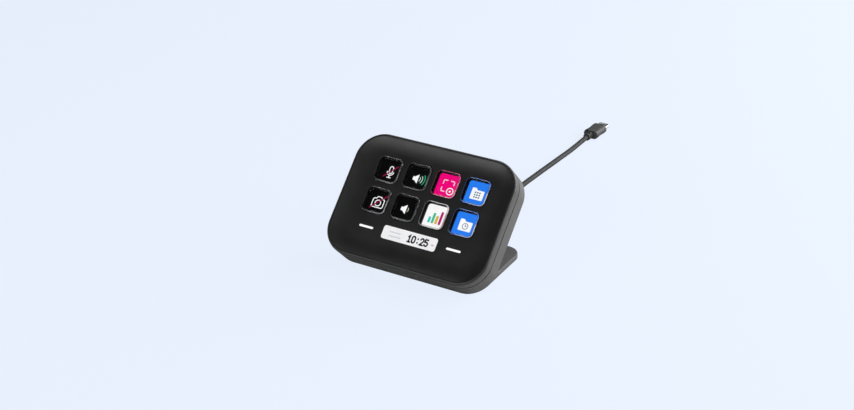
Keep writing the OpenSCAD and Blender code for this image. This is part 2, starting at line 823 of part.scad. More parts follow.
// The strain relief: a flange inside the housing, a collar outside, and a ribbed taper.
module strain_relief() {
    taper_l = relief_l - relief_collar_t;
    pitch = (taper_l - 2 * relief_plain) / relief_ribs;
    first_z = rear_z - relief_collar_t - relief_plain;
    color([0.12, 0.12, 0.13]) on_face() translate([0, relief_y]) difference() {
        union() {
            round_block(
                relief_flange, relief_flange, 1, floor_z + seat_gap, floor_z + seat_gap + relief_flange_t
            );
            block_cylinder(relief_r, rear_z - 1, floor_z + seat_gap + eps);
            block_cylinder(relief_r + relief_collar, rear_z - seat_gap - relief_collar_t, rear_z - seat_gap);
            translate([0, 0, rear_z - relief_l])
                cylinder(h = taper_l + eps, r1 = relief_tip_r, r2 = relief_r);
        }
        for (k = [0:relief_ribs - 1]) translate([0, 0, first_z - k * pitch]) difference() {
            block_cylinder(relief_r + 1, -relief_groove, 0);
            block_cylinder(cord_d / 2 + relief_core, -relief_groove - eps, eps);
        }
        block_cylinder(cord_d / 2 + 0.02, rear_z - relief_l - 1, rear_z - relief_l + cord_socket_depth);
    }
}

module cord_socket() {
    color([0.9, 0.9, 0.88]) on_face()
        block(
            [-cord_socket_w / 2, cord_socket_y[0], board_bottom_z - cord_socket_t],
            [cord_socket_w / 2, cord_socket_y[1], board_bottom_z]
        );
}

// Four wires from the strain relief's flange to their socket.
module lead_wires() {
    color([0.7, 0.2, 0.2]) on_face() for (k = [0:3]) {
        translate([(k - 1.5) * wire_pitch, cord_socket_y[1], board_bottom_z - 1.2]) rotate([-90, 0, 0])
            cylinder(h = relief_y - relief_flange / 2 - cord_socket_y[1], r = wire_r, $fn = 24);
    }
}

// A point on the strain relief's axis, a depth inside its tip.
function outlet_point(depth) =
    let (z = rear_z - relief_l + depth)
    face_at + [0, relief_y * cos(tilt) - z * sin(tilt), relief_y * sin(tilt) + z * cos(tilt)];

// The way along a route at point i.
function way(route, i) =
    let (a = route[max(i - 1, 0)], b = route[min(i + 1, len(route) - 1)]) (b - a) / norm(b - a);

// The ring of points round point i of a route.
function ring(route, i, r, sides) =
    let (t = way(route, i), s = cross(t, [0, 0, 1]) / norm(cross(t, [0, 0, 1])), n = cross(s, t))
    [for (k = [0:sides - 1]) route[i] + r * (cos(360 * k / sides) * s + sin(360 * k / sides) * n)];

// A tube swept along a route.
module tube(route, r, sides = 8) {
    count = len(route);
    points = [for (i = [0:count - 1]) each ring(route, i, r, sides)];
    faces = [
        [for (k = [0:sides - 1]) k],
        for (i = [0:count - 2], k = [0:sides - 1])
            let (a = i * sides, b = a + sides, next = (k + 1) % sides) [a + k, b + k, b + next, a + next],
        [for (k = [sides - 1:-1:0]) (count - 1) * sides + k]
    ];
    polyhedron(points, faces);
}

module cord_lead() {
    color([0.3, 0.3, 0.32]) tube(lead_route, cord_d / 2);
}

module cord_run() {
    color([0.3, 0.3, 0.32]) tube(run_route, cord_d / 2);
}

module cord_coil() {
    color([0.3, 0.3, 0.32]) translate([coil_at[0], coil_at[1], coil_low + coil_bundle[1] / 2])
        rotate_extrude() translate([coil_mean_r, 0])
            round_rect(coil_bundle[0], coil_bundle[1], cord_d / 2 - eps);
}

// The strap that holds the coil's turns together, with its head on top.
module cable_tie() {
    inner = coil_bundle + [0.8, 0];
    color([0.1, 0.1, 0.1]) translate([coil_at[0], coil_at[1], coil_low + coil_bundle[1] / 2]) rotate(200)
        translate([coil_mean_r, 0, 0]) rotate([90, 0, 0]) {
            linear_extrude(tie_w, center = true) difference() {
                round_rect(inner[0] + 2 * tie_t, inner[1] + 2 * tie_t, 1.5);
                round_rect(inner[0], inner[1], 1);
            }
            translate([tie_head[0] / 2 - 1, (inner[1] + tie_head[1]) / 2 + seat_gap])
                linear_extrude(tie_w + 1.6, center = true) round_rect(tie_head[0], tie_head[1], 0.6);
        }
}

// The plug's grip: a rounded bar with a neck for the cord.
module plug_grip_body() {
    neck = 5;
    color([0.12, 0.12, 0.13]) translate([plug_at[0], plug_at[1], plug_grip_t / 2]) rotate(plug_turn) {
        rotate([-90, 0, 0]) cylinder(h = neck + 1, r = cord_d / 2 + 0.8);
        translate([0, neck, 0]) rotate([-90, 0, 0]) linear_extrude(plug_grip_l - neck)
            round_rect(plug_grip_w, plug_grip_t, plug_grip_t / 2 - eps);
    }
}

// The plug's metal shell with its opening.
module plug_shell() {
    shell_wall = 0.3;
    color([0.8, 0.8, 0.8]) translate([plug_at[0], plug_at[1], plug_grip_t / 2]) rotate(plug_turn)
        translate([0, plug_grip_l, 0]) rotate([-90, 0, 0]) difference() {
            linear_extrude(plug_shell_l)
                round_rect(plug_shell_w, plug_shell_t, plug_shell_t / 2 - eps);
            translate([0, 0, 0.6]) linear_extrude(plug_shell_l) round_rect(
                plug_shell_w - 2 * shell_wall, plug_shell_t - 2 * shell_wall,
                plug_shell_t / 2 - shell_wall - eps
            );
        }
}

front_shell();
rear_shell();
foot_pad();
for (k = [1:key_cols * key_rows]) {
    key_cap(k);
}
key_guide();
key_mat();
contact_board();
display_panel();
display_carrier();
info_lens();
info_display();
touch_bar(-1);  // touch_bar_left
touch_bar(1);  // touch_bar_right
touch_board_piece(-1);  // touch_board_left
touch_board_piece(1);  // touch_board_right
main_board();
chip(processor_at, processor_size);  // processor_chip
chip(memory_at, memory_size);  // memory_chip
flex_sockets();
cord_socket();
panel_flex();
contact_flex();
info_flex();
carrier_screws();
board_screws();
case_screws();
strain_relief();
lead_wires();
cord_lead();
cord_coil();
cord_run();
cable_tie();
plug_grip_body();
plug_shell();
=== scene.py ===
"""Dresses the display key keypad: its shells, clear keys, lit pictures, information bar, foot and cord."""

import logging
import math
from dataclasses import dataclass, field
from enum import Enum

import bmesh
import bpy
import numpy as np
from mathutils import Matrix, Vector
from mathutils.geometry import tessellate_polygon


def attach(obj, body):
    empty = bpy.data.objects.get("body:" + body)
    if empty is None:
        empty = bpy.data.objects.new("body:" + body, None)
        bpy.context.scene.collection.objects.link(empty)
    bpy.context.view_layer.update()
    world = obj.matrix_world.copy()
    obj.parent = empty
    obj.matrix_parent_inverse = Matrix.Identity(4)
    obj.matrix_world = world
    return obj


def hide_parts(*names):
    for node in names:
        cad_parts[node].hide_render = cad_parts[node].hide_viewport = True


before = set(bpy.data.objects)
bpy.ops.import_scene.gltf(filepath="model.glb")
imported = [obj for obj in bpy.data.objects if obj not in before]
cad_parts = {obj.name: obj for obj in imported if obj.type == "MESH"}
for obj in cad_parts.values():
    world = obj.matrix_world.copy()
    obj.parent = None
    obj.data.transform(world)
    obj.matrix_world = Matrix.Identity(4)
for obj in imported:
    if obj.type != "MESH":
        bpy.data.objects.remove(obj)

LOG = logging.getLogger("keypad")
MM = 0.001
TAU = 2 * math.pi
HOUSING = "housing"

Piece = bpy.types.Object
Tree = bpy.types.NodeTree
Socket = bpy.types.NodeSocket
Colour = tuple[float, float, float, float]
Pair = tuple[float, float]
Triple = tuple[float, float, float]
# An outline: its points and their outward normals.
Edge = tuple[np.ndarray, np.ndarray]
Loops = list[np.ndarray]


# ---------------------------------------------------------------- colours and nodes


def linear(hex_text: str) -> Colour:
    """Turns an sRGB hex colour into linear RGBA: v / 12.92 at the low end, else ((v + 0.055) / 1.055) ** 2.4.

    Args:
        hex_text: six hex digits, such as "3a3b3d".

    Returns:
        Linear red, green and blue, and an alpha of 1.
    """
    values = np.array([int(hex_text[i:i + 2], 16) for i in (0, 2, 4)]) / 255
    low, high = values / 12.92, ((values + 0.055) / 1.055) ** 2.4
    red, green, blue = np.where(values <= 0.04045, low, high).tolist()
    return red, green, blue, 1.0


def shaded(colour: str, factor: float) -> Colour:
    """A hex colour in linear RGBA, made lighter or darker by a factor."""
    red, green, blue, alpha = linear(colour)
    return red * factor, green * factor, blue * factor, alpha


def fresh_tree(owner: bpy.types.Material | bpy.types.World) -> Tree:
    """Turns on the nodes of a material or world, empties them and returns them.

    Args:
        owner: a material or a world.

    Returns:
        Its empty node tree.
    """
    owner.use_nodes = True
    owner.node_tree.nodes.clear()
    return owner.node_tree


def add_node(tree: Tree, kind: str, inputs: dict | None = None, **settings) -> bpy.types.Node:
    """Adds a shader node with its settings and links.

    Args:
        tree: the node tree.
        kind: the node's type without its ShaderNode prefix.
        inputs: socket names or numbers, each with a value or with the output socket that feeds it.
        **settings: attributes of the node.

    Returns:
        The new node.
    """
    node = tree.nodes.new("ShaderNode" + kind)
    for name, value in settings.items():
        setattr(node, name, value)
    for key, value in (inputs or {}).items():
        if isinstance(value, Socket):
            tree.links.new(value, node.inputs[key])
        else:
            node.inputs[key].default_value = value
    return node


def linked(name: str, data: bpy.types.ID) -> Piece:
    """Makes an object of its data and links it to the scene.

    Args:
        name: the object's name.
        data: its mesh, curve, camera or lamp.

    Returns:
        The object.
    """
    made = bpy.data.objects.new(name, data)
    bpy.context.scene.collection.objects.link(made)
    return made


# ---------------------------------------------------------------- finishes


# A pattern's value lies mostly between these, so its looks are spread over them.
SPREAD = (0.3, 0.7)


@dataclass(frozen=True)
class Finish:
    """What every finish has: a name, a colour, and a material that is made once.

    Attributes:
        name: the material's name, after the real finish.
        colour: sRGB hex.
    """

    name: str
    colour: str

    def material(self) -> bpy.types.Material:
        """Returns the finish's material, made at its first use.

        Returns:
            The material.
        """
        found = bpy.data.materials.get(self.name)
        if found:
            return found
        made = bpy.data.materials.new(self.name)
        tree = fresh_tree(made)
        add_node(tree, "OutputMaterial", {"Surface": self.shader(tree)})
        made.diffuse_color = linear(self.colour)
        return made

    def shader(self, tree: Tree) -> Socket:
        """Builds the nodes and returns the shader's output."""
        raise NotImplementedError

    def grain(self, tree: Tree, size_mm: float, detail: float, stretch: Triple = (1, 1, 1)) -> Socket:
        """A noise on object coordinates.

        Args:
            tree: the node tree.
            size_mm: the size of one grain in millimetres.
            detail: octaves of the noise.
            stretch: scale along each axis.

        Returns:
            The noise's value, from 0 to 1.
        """
        place = add_node(tree, "TexCoord").outputs["Object"]
        turned = add_node(tree, "Mapping", {"Vector": place, "Scale": stretch}).outputs[0]
        size = {"Vector": turned, "Scale": 1 / (size_mm * MM), "Detail": detail, "Roughness": 0.55}
        return add_node(tree, "TexNoise", size).outputs["Fac"]

    def varied(self, tree: Tree, value: Socket, low: float, high: float) -> Socket:
        """The finish's colour, times a factor that goes from low to high with a pattern's value.

        Args:
            tree: the node tree.
            value: the pattern's value.
            low: factor at the low end.
            high: factor at the high end.

        Returns:
            The colour.
        """
        ramp = add_node(tree, "ValToRGB", {"Fac": value})
        for element, position, factor in zip(ramp.color_ramp.elements, SPREAD, (low, high)):
            element.position = position
            element.color = shaded(self.colour, factor)
        return ramp.outputs["Color"]

    def ranged(self, tree: Tree, value: Socket, middle: float, reach: float) -> Socket:
        """A number that goes from a reach below its middle to a reach above it with a pattern's value.

        Args:
            tree: the node tree.
            value: the pattern's value.
            middle: the middle of the range.
            reach: how far it goes to each side.

        Returns:
            The number.
        """
        low, high = middle - reach, middle + reach
        ends = {"From Min": SPREAD[0], "From Max": SPREAD[1], "To Min": low, "To Max": high}
        return add_node(tree, "MapRange", {"Value": value, **ends}).outputs["Result"]

    def surface(self, tree: Tree, colour: Socket, height: Socket, depth_mm: float, inputs: dict) -> Socket:
        """The principled shader over a bump.

        Args:
            tree: the node tree.
            colour: the base colour.
            height: the pattern that the bump follows.
            depth_mm: the pattern's depth in millimetres.
            inputs: the shader's other inputs.

        Returns:
            The shader's output.
        """
        bump = add_node(tree, "Bump", {"Height": height, "Distance": depth_mm * MM, "Strength": 1.0})
        basis = {"Base Color": colour, "Normal": bump.outputs[0]}
        return add_node(tree, "BsdfPrincipled", basis | inputs).outputs[0]


@dataclass(frozen=True)
class MouldedPlastic(Finish):
    """Injection-moulded plastic with a spark-eroded texture: fine even grain, faint flow mottling.

    The real pits are about 0.05 mm across, too fine to show, so they are drawn several times as coarse. The
    mottling has the size of real flow marks.

    Attributes:
        roughness: mean roughness.
        grain_mm: size of the texture's grain.
        depth_mm: depth of the texture.
        mottle: share by which the colour varies.
        specular: specular level.
        flow_mm: size of the flow marks.
        sheen: how much the roughness varies.
    """

    roughness: float
    grain_mm: float = 0.35
    depth_mm: float = 0.012
    mottle: float = 0.06
    specular: float = 0.5
    flow_mm: float = 14.0
    sheen: float = 0.03

    def shader(self, tree: Tree) -> Socket:
        """Builds a fine grain in the bump and broad mottling in the colour and the roughness.

        Args:
            tree: the material's node tree.

        Returns:
            The shader's output.
        """
        fine, broad = self.grain(tree, self.grain_mm, 3), self.grain(tree, self.flow_mm, 2)
        colour = self.varied(tree, broad, 1 - self.mottle, 1 + self.mottle)
        rough = self.ranged(tree, broad, self.roughness, self.sheen)
        inputs = {"Roughness": rough, "IOR": 1.53, "Specular IOR Level": self.specular}
        return self.surface(tree, colour, fine, self.depth_mm, inputs)


@dataclass(frozen=True)
class ClearPlastic(Finish):
    """Polished clear acrylic or polycarbonate, with the faint waviness of a moulded part.

    Attributes:
        roughness: roughness of the polish.
        clear: transmission weight; what it leaves is a pale scatter.
        gloss: specular level.
        wave_mm: length of the waves.
        depth_mm: depth of the waves.
        tint: factor of the colour where a wave is lowest.
    """

    roughness: float = 0.02
    clear: float = 1.0
    gloss: float = 0.5
    wave_mm: float = 5.0
    depth_mm: float = 0.0002
    tint: float = 0.985

    def shader(self, tree: Tree) -> Socket:
        """Builds clear plastic whose colour and bump follow one broad pattern.

        Args:
            tree: the material's node tree.

        Returns:
            The shader's output.
        """
        broad = self.grain(tree, self.wave_mm, 1)
        colour = self.varied(tree, broad, self.tint, 1.0)
        inputs = {"Roughness": self.roughness, "IOR": 1.49, "Transmission Weight": self.clear}
        return self.surface(tree, colour, broad, self.depth_mm, inputs | {"Specular IOR Level": self.gloss})


@dataclass(frozen=True)
class LitInk(Finish):
    """One colour of a lit display: emitted light over black glass, faintly uneven like its backlight.

    Attributes:
        strength: emission strength.
        uneven: share by which the light varies.
        patch_mm: size of its brighter and darker patches.
    """

    strength: float
    uneven: float = 0.03
    patch_mm: float = 6.0

    def shader(self, tree: Tree) -> Socket:
        """Builds black glass with a light that varies faintly.

        Args:
            tree: the material's node tree.

        Returns:
            The shader's output.
        """
        light = self.varied(tree, self.grain(tree, self.patch_mm, 1), 1 - self.uneven, 1 + self.uneven)
        glass = {"Base Color": linear("050506"), "Roughness": 0.3, "Specular IOR Level": 0.1}
        lit = {"Emission Color": light, "Emission Strength": self.strength}
        return add_node(tree, "BsdfPrincipled", glass | lit).outputs[0]


@dataclass(frozen=True)
class Rubber(Finish):
    """Moulded rubber or soft elastomer: dull, with a fine drag texture.

    The real texture is about 0.1 mm across, too fine to show, so it is drawn several times as coarse.

    Attributes:
        roughness: mean roughness.
        grain_mm: size of the texture's grain.
        depth_mm: depth of the texture.
        specular: specular level.
        cloud_mm: size of the clouds in its colour.
        bloom: share by which the colour varies.
        drag: how much the roughness varies.
    """

    roughness: float = 0.75
    grain_mm: float = 0.5
    depth_mm: float = 0.02
    specular: float = 0.5
    cloud_mm: float = 9.0
    bloom: float = 0.1
    drag: float = 0.06

    def shader(self, tree: Tree) -> Socket:
        """Builds a fine grain in the bump and the roughness and broad clouds in the colour.

        Args:
            tree: the material's node tree.

        Returns:
            The shader's output.
        """
        fine = self.grain(tree, self.grain_mm, 2)
        clouds = self.grain(tree, self.cloud_mm, 2)
        colour = self.varied(tree, clouds, 1 - self.bloom, 1 + self.bloom)
        rough = self.ranged(tree, fine, self.roughness, self.drag)
        inputs = {"Roughness": rough, "IOR": 1.52, "Specular IOR Level": self.specular}
        return self.surface(tree, colour, fine, self.depth_mm, inputs)


@dataclass(frozen=True)
class PlatedSteel(Finish):
    """Zinc-, nickel- or gold-plated metal: bright, with fine drawn lines.

    The real lines lie about 0.02 mm apart, too fine to show, so they are drawn several times as coarse.

    Attributes:
        roughness: mean roughness.
        line_mm: spacing of the drawn lines.
        depth_mm: depth of the lines.
        brushed: how much the roughness varies.
        shine: factors of the colour in and between the lines.
    """

    roughness: float
    line_mm: float = 0.12
    depth_mm: float = 0.003
    brushed: float = 0.08
    shine: Pair = (0.92, 1.05)

    def shader(self, tree: Tree) -> Socket:
        """Builds metal whose colour, roughness and bump follow drawn lines.

        Args:
            tree: the material's node tree.

        Returns:
            The shader's output.
        """
        lines = self.grain(tree, self.line_mm, 2, (1, 1, 0.08))
        colour = self.varied(tree, lines, *self.shine)
        rough = self.ranged(tree, lines, self.roughness, self.brushed)
        return self.surface(tree, colour, lines, self.depth_mm, {"Metallic": 1.0, "Roughness": rough})


@dataclass(frozen=True)
class BoardLaminate(Finish):
    """Glass laminate under solder mask: the cloth's weave shows faintly under a satin coat.

    Attributes:
        weave_mm: spacing of the cloth's threads.
        depth_mm: depth of the weave.
        contrast: share by which the colour varies.
    """

    weave_mm: float = 0.5
    depth_mm: float = 0.01
    contrast: float = 0.12

    def shader(self, tree: Tree) -> Socket:
        """Builds the weave as two crossed waves that are multiplied with each other.

        Args:
            tree: the material's node tree.

        Returns:
            The shader's output.
        """
        # A wave texture turns by 20 radians in one unit at a scale of 1.
        place = add_node(tree, "TexCoord").outputs["Object"]
        size = {"Vector": place, "Scale": TAU / (self.weave_mm * MM) / 20}
        across, along = (add_node(tree, "TexWave", size, bands_direction=way).outputs["Fac"] for way in "XZ")
        weave = add_node(tree, "Math", {0: across, 1: along}, operation="MULTIPLY").outputs[0]
        colour = self.varied(tree, weave, 1 - self.contrast, 1 + self.contrast)
        coat = {"Roughness": 0.35, "Coat Weight": 0.3, "Coat Roughness": 0.2}
        return self.surface(tree, colour, weave, self.depth_mm, coat)


class Ink(Enum):
    """The lit colours of the pictures: full flat light that no shadow dims."""

    BLACK = LitInk("lit black", "050506", 0.5)
    WHITE = LitInk("lit white", "ffffff", 1.12)
    GREEN = LitInk("lit green", "1fa066", 0.9)
    CRIMSON = LitInk("lit crimson", "961446", 0.9)
    PINK = LitInk("lit pink", "ff0080", 1.0)
    BLUE = LitInk("lit blue", "2a86ff", 1.0)
    CREAM = LitInk("lit warm white", "fffcfa", 1.12)
    WARM = LitInk("lit warm yellow", "e6e4c8", 0.9)
    CYAN = LitInk("lit cyan", "30d0c8", 1.0)
    LEAF = LitInk("lit leaf green", "46c894", 1.0)
    AMBER = LitInk("lit amber", "e8bc3a", 1.0)
    MAGENTA = LitInk("lit magenta", "c0207c", 1.0)
    HAZE = LitInk("lit grey blue", "8a93a8", 1.0)
    NAVY = LitInk("lit navy", "1c4484", 1.0)
    BLUSH = LitInk("lit pale pink", "ffe0ee", 1.0)
    MINT = LitInk("lit mint", "d8f4e6", 1.0)
    ROSE = LitInk("lit dull rose", "dfb6c0", 1.0)
    PAPER = LitInk("lit paper white", "f5f4f6", 1.06)
    FAINT = LitInk("lit faint grey", "dcdde2", 1.0)
    DIGIT = LitInk("lit near black", "060608", 1.0)


class Plastics(Enum):
    """The moulded finishes."""

    # A dark satin: lamps show on it as broad soft glows, with no edge.
    FACE = MouldedPlastic("charcoal ABS, fine spark texture", "19191a", roughness=0.4)
    # The face's charcoal plastic drawn paler and a little rougher: a painted lighter tone for the light that
    # falls on the side wall.
    SIDE_PAINTED_LIGHTER = MouldedPlastic("charcoal ABS, side painted lighter", "3a3a3b", roughness=0.45)
    # A mid grey that stays even from wall to foot, with little sheen.
    REAR = MouldedPlastic("grey ABS, fine spark texture", "525253", roughness=0.45, specular=0.2)
    # Deep black without a highlight, so that no light leaks between the keys.
    GUIDE = MouldedPlastic("black polycarbonate, matte", "0b0b0c", roughness=0.6)
    # A thin black film that hides the clear plastic below it.
    COAT = MouldedPlastic("black masking coat", "060607", roughness=0.5, depth_mm=0.004)
    # A plain dull grey, as an unseen frame is moulded.
    CARRIER = MouldedPlastic("grey ABS carrier", "4c4c50", roughness=0.55)
    # Waxy and off-white, a pale spot on the boards.
    SOCKET = MouldedPlastic("cream nylon", "ddd5c4", roughness=0.5)
    # Dry and sandy black, from the filler in the resin.
    CHIP = MouldedPlastic("black moulding resin", "141416", roughness=0.6, grain_mm=0.2)
    # A slightly waxy black with soft highlights along the bends.
    TIE = MouldedPlastic("black nylon", "111113", roughness=0.45, grain_mm=0.6)
    # A soft dull charcoal that is easy to grip.
    GRIP = MouldedPlastic("charcoal PVC overmould", "1d1d1f", roughness=0.55)
    # Smooth orange film that shines where it bends.
    FILM = MouldedPlastic("amber polyimide film", "c07f2c", roughness=0.35, grain_mm=1.5)
    # A clean even red with a narrow highlight along each wire.
    WIRE = MouldedPlastic("red PVC wire jacket", "a3262b", roughness=0.4)


# Colourless and sharp: the picture below shows through it, and lamps mirror in it as small bright spots.
CLEAR_KEY = ClearPlastic("clear polycarbonate, polished", "f4f6f8")
# The softer polish of a rounded edge, which catches the light as a pale line round the key.
KEY_EDGE = ClearPlastic("clear polycarbonate, satin edge", "a8aaae", roughness=0.2, clear=0.9, gloss=1.0)
# Flat and glassy, with hardly a trace of itself over the white picture.
CLEAR_LENS = ClearPlastic("clear acrylic, polished", "fafbfc", roughness=0.03)
# Milky plastic lit from below: an even white without a hot spot.
LIGHT_GUIDE = LitInk("milky light guide, lit", "ffffff", 1.0, 0.02)
# Black glass with a clear reflection.
PANEL_GLASS = MouldedPlastic("black display glass", "060607", roughness=0.12, depth_mm=0.001)
# Dull and dusty black, without a highlight.
PAD_RUBBER = Rubber("black rubber pad", "161617")
# A softer black with a faint bloom.
MAT_RUBBER = Rubber("black silicone", "0c0c0d")
# A dull dark jacket with one weak highlight along its back.
CORD_JACKET = Rubber(
    "dark grey TPE cord jacket", "1e1f21", roughness=0.6, grain_mm=0.8, depth_mm=0.01, specular=0.3
)
# The same family of plastic, firmer and a little more satin.
RELIEF_RUBBER = Rubber("charcoal TPE strain relief", "232325", roughness=0.55)
# Dark metal with a smoky shine.
SCREW_STEEL = PlatedSteel("black zinc plated steel", "5a5a5e", roughness=0.38)
# Bright silvery metal that mirrors in soft streaks.
PLUG_STEEL = PlatedSteel("nickel plated steel", "c9c9cb", roughness=0.22)
# Small warm glints inside the plug.
CONTACT_GOLD = PlatedSteel("gold plated contacts", "d9b25c", roughness=0.25)
# Green satin lacquer with the cloth's faint checks under it.
LAMINATE = BoardLaminate("green board laminate", "1f5a38")
# The same under black lacquer, where the checks hardly show.
DARK_LAMINATE = BoardLaminate("black board laminate", "0d0d0e")


# ---------------------------------------------------------------- frames and surfaces


@dataclass(frozen=True)
class Placing:
    """A frame that a sub-assembly is drawn in: its points are turned about X, then about Z, then moved.

    Attributes:
        origin: the frame's origin in the row frame, in millimetres.
        tilt: turn about X in degrees.
        turn: turn about Z in degrees.
    """

    origin: Triple
    tilt: float
    turn: float = 0.0

    def place(self, points: np.ndarray) -> np.ndarray:
        """Turns and moves points: Rz Rx p + origin.

        Args:
            points: an array whose last axis is x, y, z in this frame.

        Returns:
            The same points in the row frame, in millimetres.
        """
        lean = Matrix.Rotation(math.radians(self.tilt), 3, "X")
        spin = Matrix.Rotation(math.radians(self.turn), 3, "Z")
        return points @ np.array(spin @ lean).T + np.array(self.origin)


# The face's frame: x right, y up the face, z out of it, from the rim's middle.
FACE_PLANE = Placing((0.0, -8.173, 39.481), 45.0)
# The plug's frame: z along the plug from the cord's end.
PLUG_PLACE = Placing((11.6, 204.0, 3.1), -90.0, -4.2)
# The tie's frame: x outwards from the coil's middle, y up, round the winding's section.
TIE_PLACE = Placing((-39.452, 58.92, 7.6), 90.0, 200.0)
# The lower row of the face: its height, and how far a touch bar lies from the middle, in millimetres.
ROW_Y, TOUCH_X = -19.1, 29.3
# Width of the level land beside a filled flat face, in millimetres.
LAND = 0.05
# What the radius of a fully round side falls short of half the side, in millimetres.
NEARLY = 0.01
# Points closer than this are welded, and edges shorter than this go, in millimetres.
WELD, SHORTEST = 0.0005, 0.0002


def outline(width: float, height: float, radius: float, steps: int = 14) -> Edge:
    """A rounded rectangle's points and outward normals, counter-clockwise.

    Each corner is its centre plus radius times (cos a, sin a), over a quarter turn, and that direction is the
    normal there. Straight sides join the corners.

    Args:
        width: full width.
        height: full height.
        radius: corner radius.
        steps: points per corner, less one.

    Returns:
        Points and normals, each of shape (4 * (steps + 1), 2).
    """
    signs, normals = quarters(steps)
    centres = signs * np.array([width / 2 - radius, height / 2 - radius])
    return centres + radius * normals, normals


def quarters(steps: int) -> Edge:
    """The signs of a rounded rectangle's corners and the normals of their quarter turns.

    Args:
        steps: points per corner, less one.

    Returns:
        Signs and normals, each of shape (4 * (steps + 1), 2).
    """
    turn = np.linspace(0, math.pi / 2, steps + 1)
    angles = np.concatenate([turn + k * math.pi / 2 for k in range(4)])
    signs = np.repeat([[1, 1], [-1, 1], [-1, -1], [1, -1]], steps + 1, axis=0)
    return signs, np.stack([np.cos(angles), np.sin(angles)], axis=1)


def arc(centre: Pair | np.ndarray, radius: float, start: float, end: float, steps: int = 8) -> np.ndarray:
    """Points on a circle from one angle to another, in degrees: centre + radius (cos a, sin a)."""
    angle = np.radians(np.linspace(start, end, steps + 1))
    return np.array(centre) + radius * np.stack([np.cos(angle), np.sin(angle)], axis=1)


def raised(flat: np.ndarray, height: np.ndarray) -> np.ndarray:
    """Gives each column of a grid of x and y its height along z."""
    level = np.broadcast_to(height[None, :, None], flat.shape[:2] + (1,))
    return np.concatenate([flat, level], axis=2)


def sweep(edge: Edge, section: np.ndarray, at: Pair = (0.0, 0.0)) -> np.ndarray:
    """Carries a section round an outline: point + offset times normal, at the section's height.

    Args:
        edge: the outline's points and normals.
        section: rows of offset and height.
        at: where the outline's middle lies.

    Returns:
        A grid of points, of shape (outline, section, 3).
    """
    points, normals = edge
    flat = (points + np.array(at))[:, None, :] + section[None, :, 0, None] * normals[:, None, :]
    return raised(flat, section[:, 1])


def loft(stations: list[Triple] | np.ndarray, corner: float = 0.0, steps: int = 8) -> np.ndarray:
    """Carries a rounded rectangle along z, with its own width and height at each station.

    Each point is sign * (size / 2 - r) + r * (cos a, sin a), where r is the corner, or nearly half the
    lesser side where the corner is 0.

    Args:
        stations: rows of height along z, width and height of the rectangle.
        corner: corner radius, or 0 for fully round short sides.
        steps: points per corner, less one.

    Returns:
        A grid of points, of shape (around, stations, 3).
    """
    along, width, height = np.array(stations, float).T
    signs, normals = quarters(steps)
    radius = np.minimum(width, height) / 2 - NEARLY
    radius = np.minimum(radius, corner) if corner else radius
    centres = np.stack([width / 2 - radius, height / 2 - radius], axis=1)
    flat = signs[:, None, :] * centres[None] + radius[None, :, None] * normals[:, None, :]
    return raised(flat, along)


def landed(section: np.ndarray, end: bool = False) -> np.ndarray:
    """Adds a narrow level land before a section's first point, or after its last.

    The flat face that is filled there then shades as flat, while the rounding beside it shades round.

    Args:
        section: rows of offset and height.
        end: adds the land after the last point.

    Returns:
        The section with one more row.
    """
    if end:
        return np.vstack([section, section[-1] - [LAND, 0]])
    return np.vstack([section[0] - [LAND, 0], section])


def revolve(section: np.ndarray, steps: int) -> np.ndarray:
    """Turns a section of radius and height about the z axis: (r cos a, r sin a, z).

    Args:
        section: rows of radius and height.
        steps: points round the turn.

    Returns:
        A grid of points, of shape (steps, section, 3).
    """
    angle = np.arange(steps) * TAU / steps
    around = np.stack([np.cos(angle), np.sin(angle)], axis=1)
    return raised(section[None, :, 0, None] * around[:, None, :], section[:, 1])


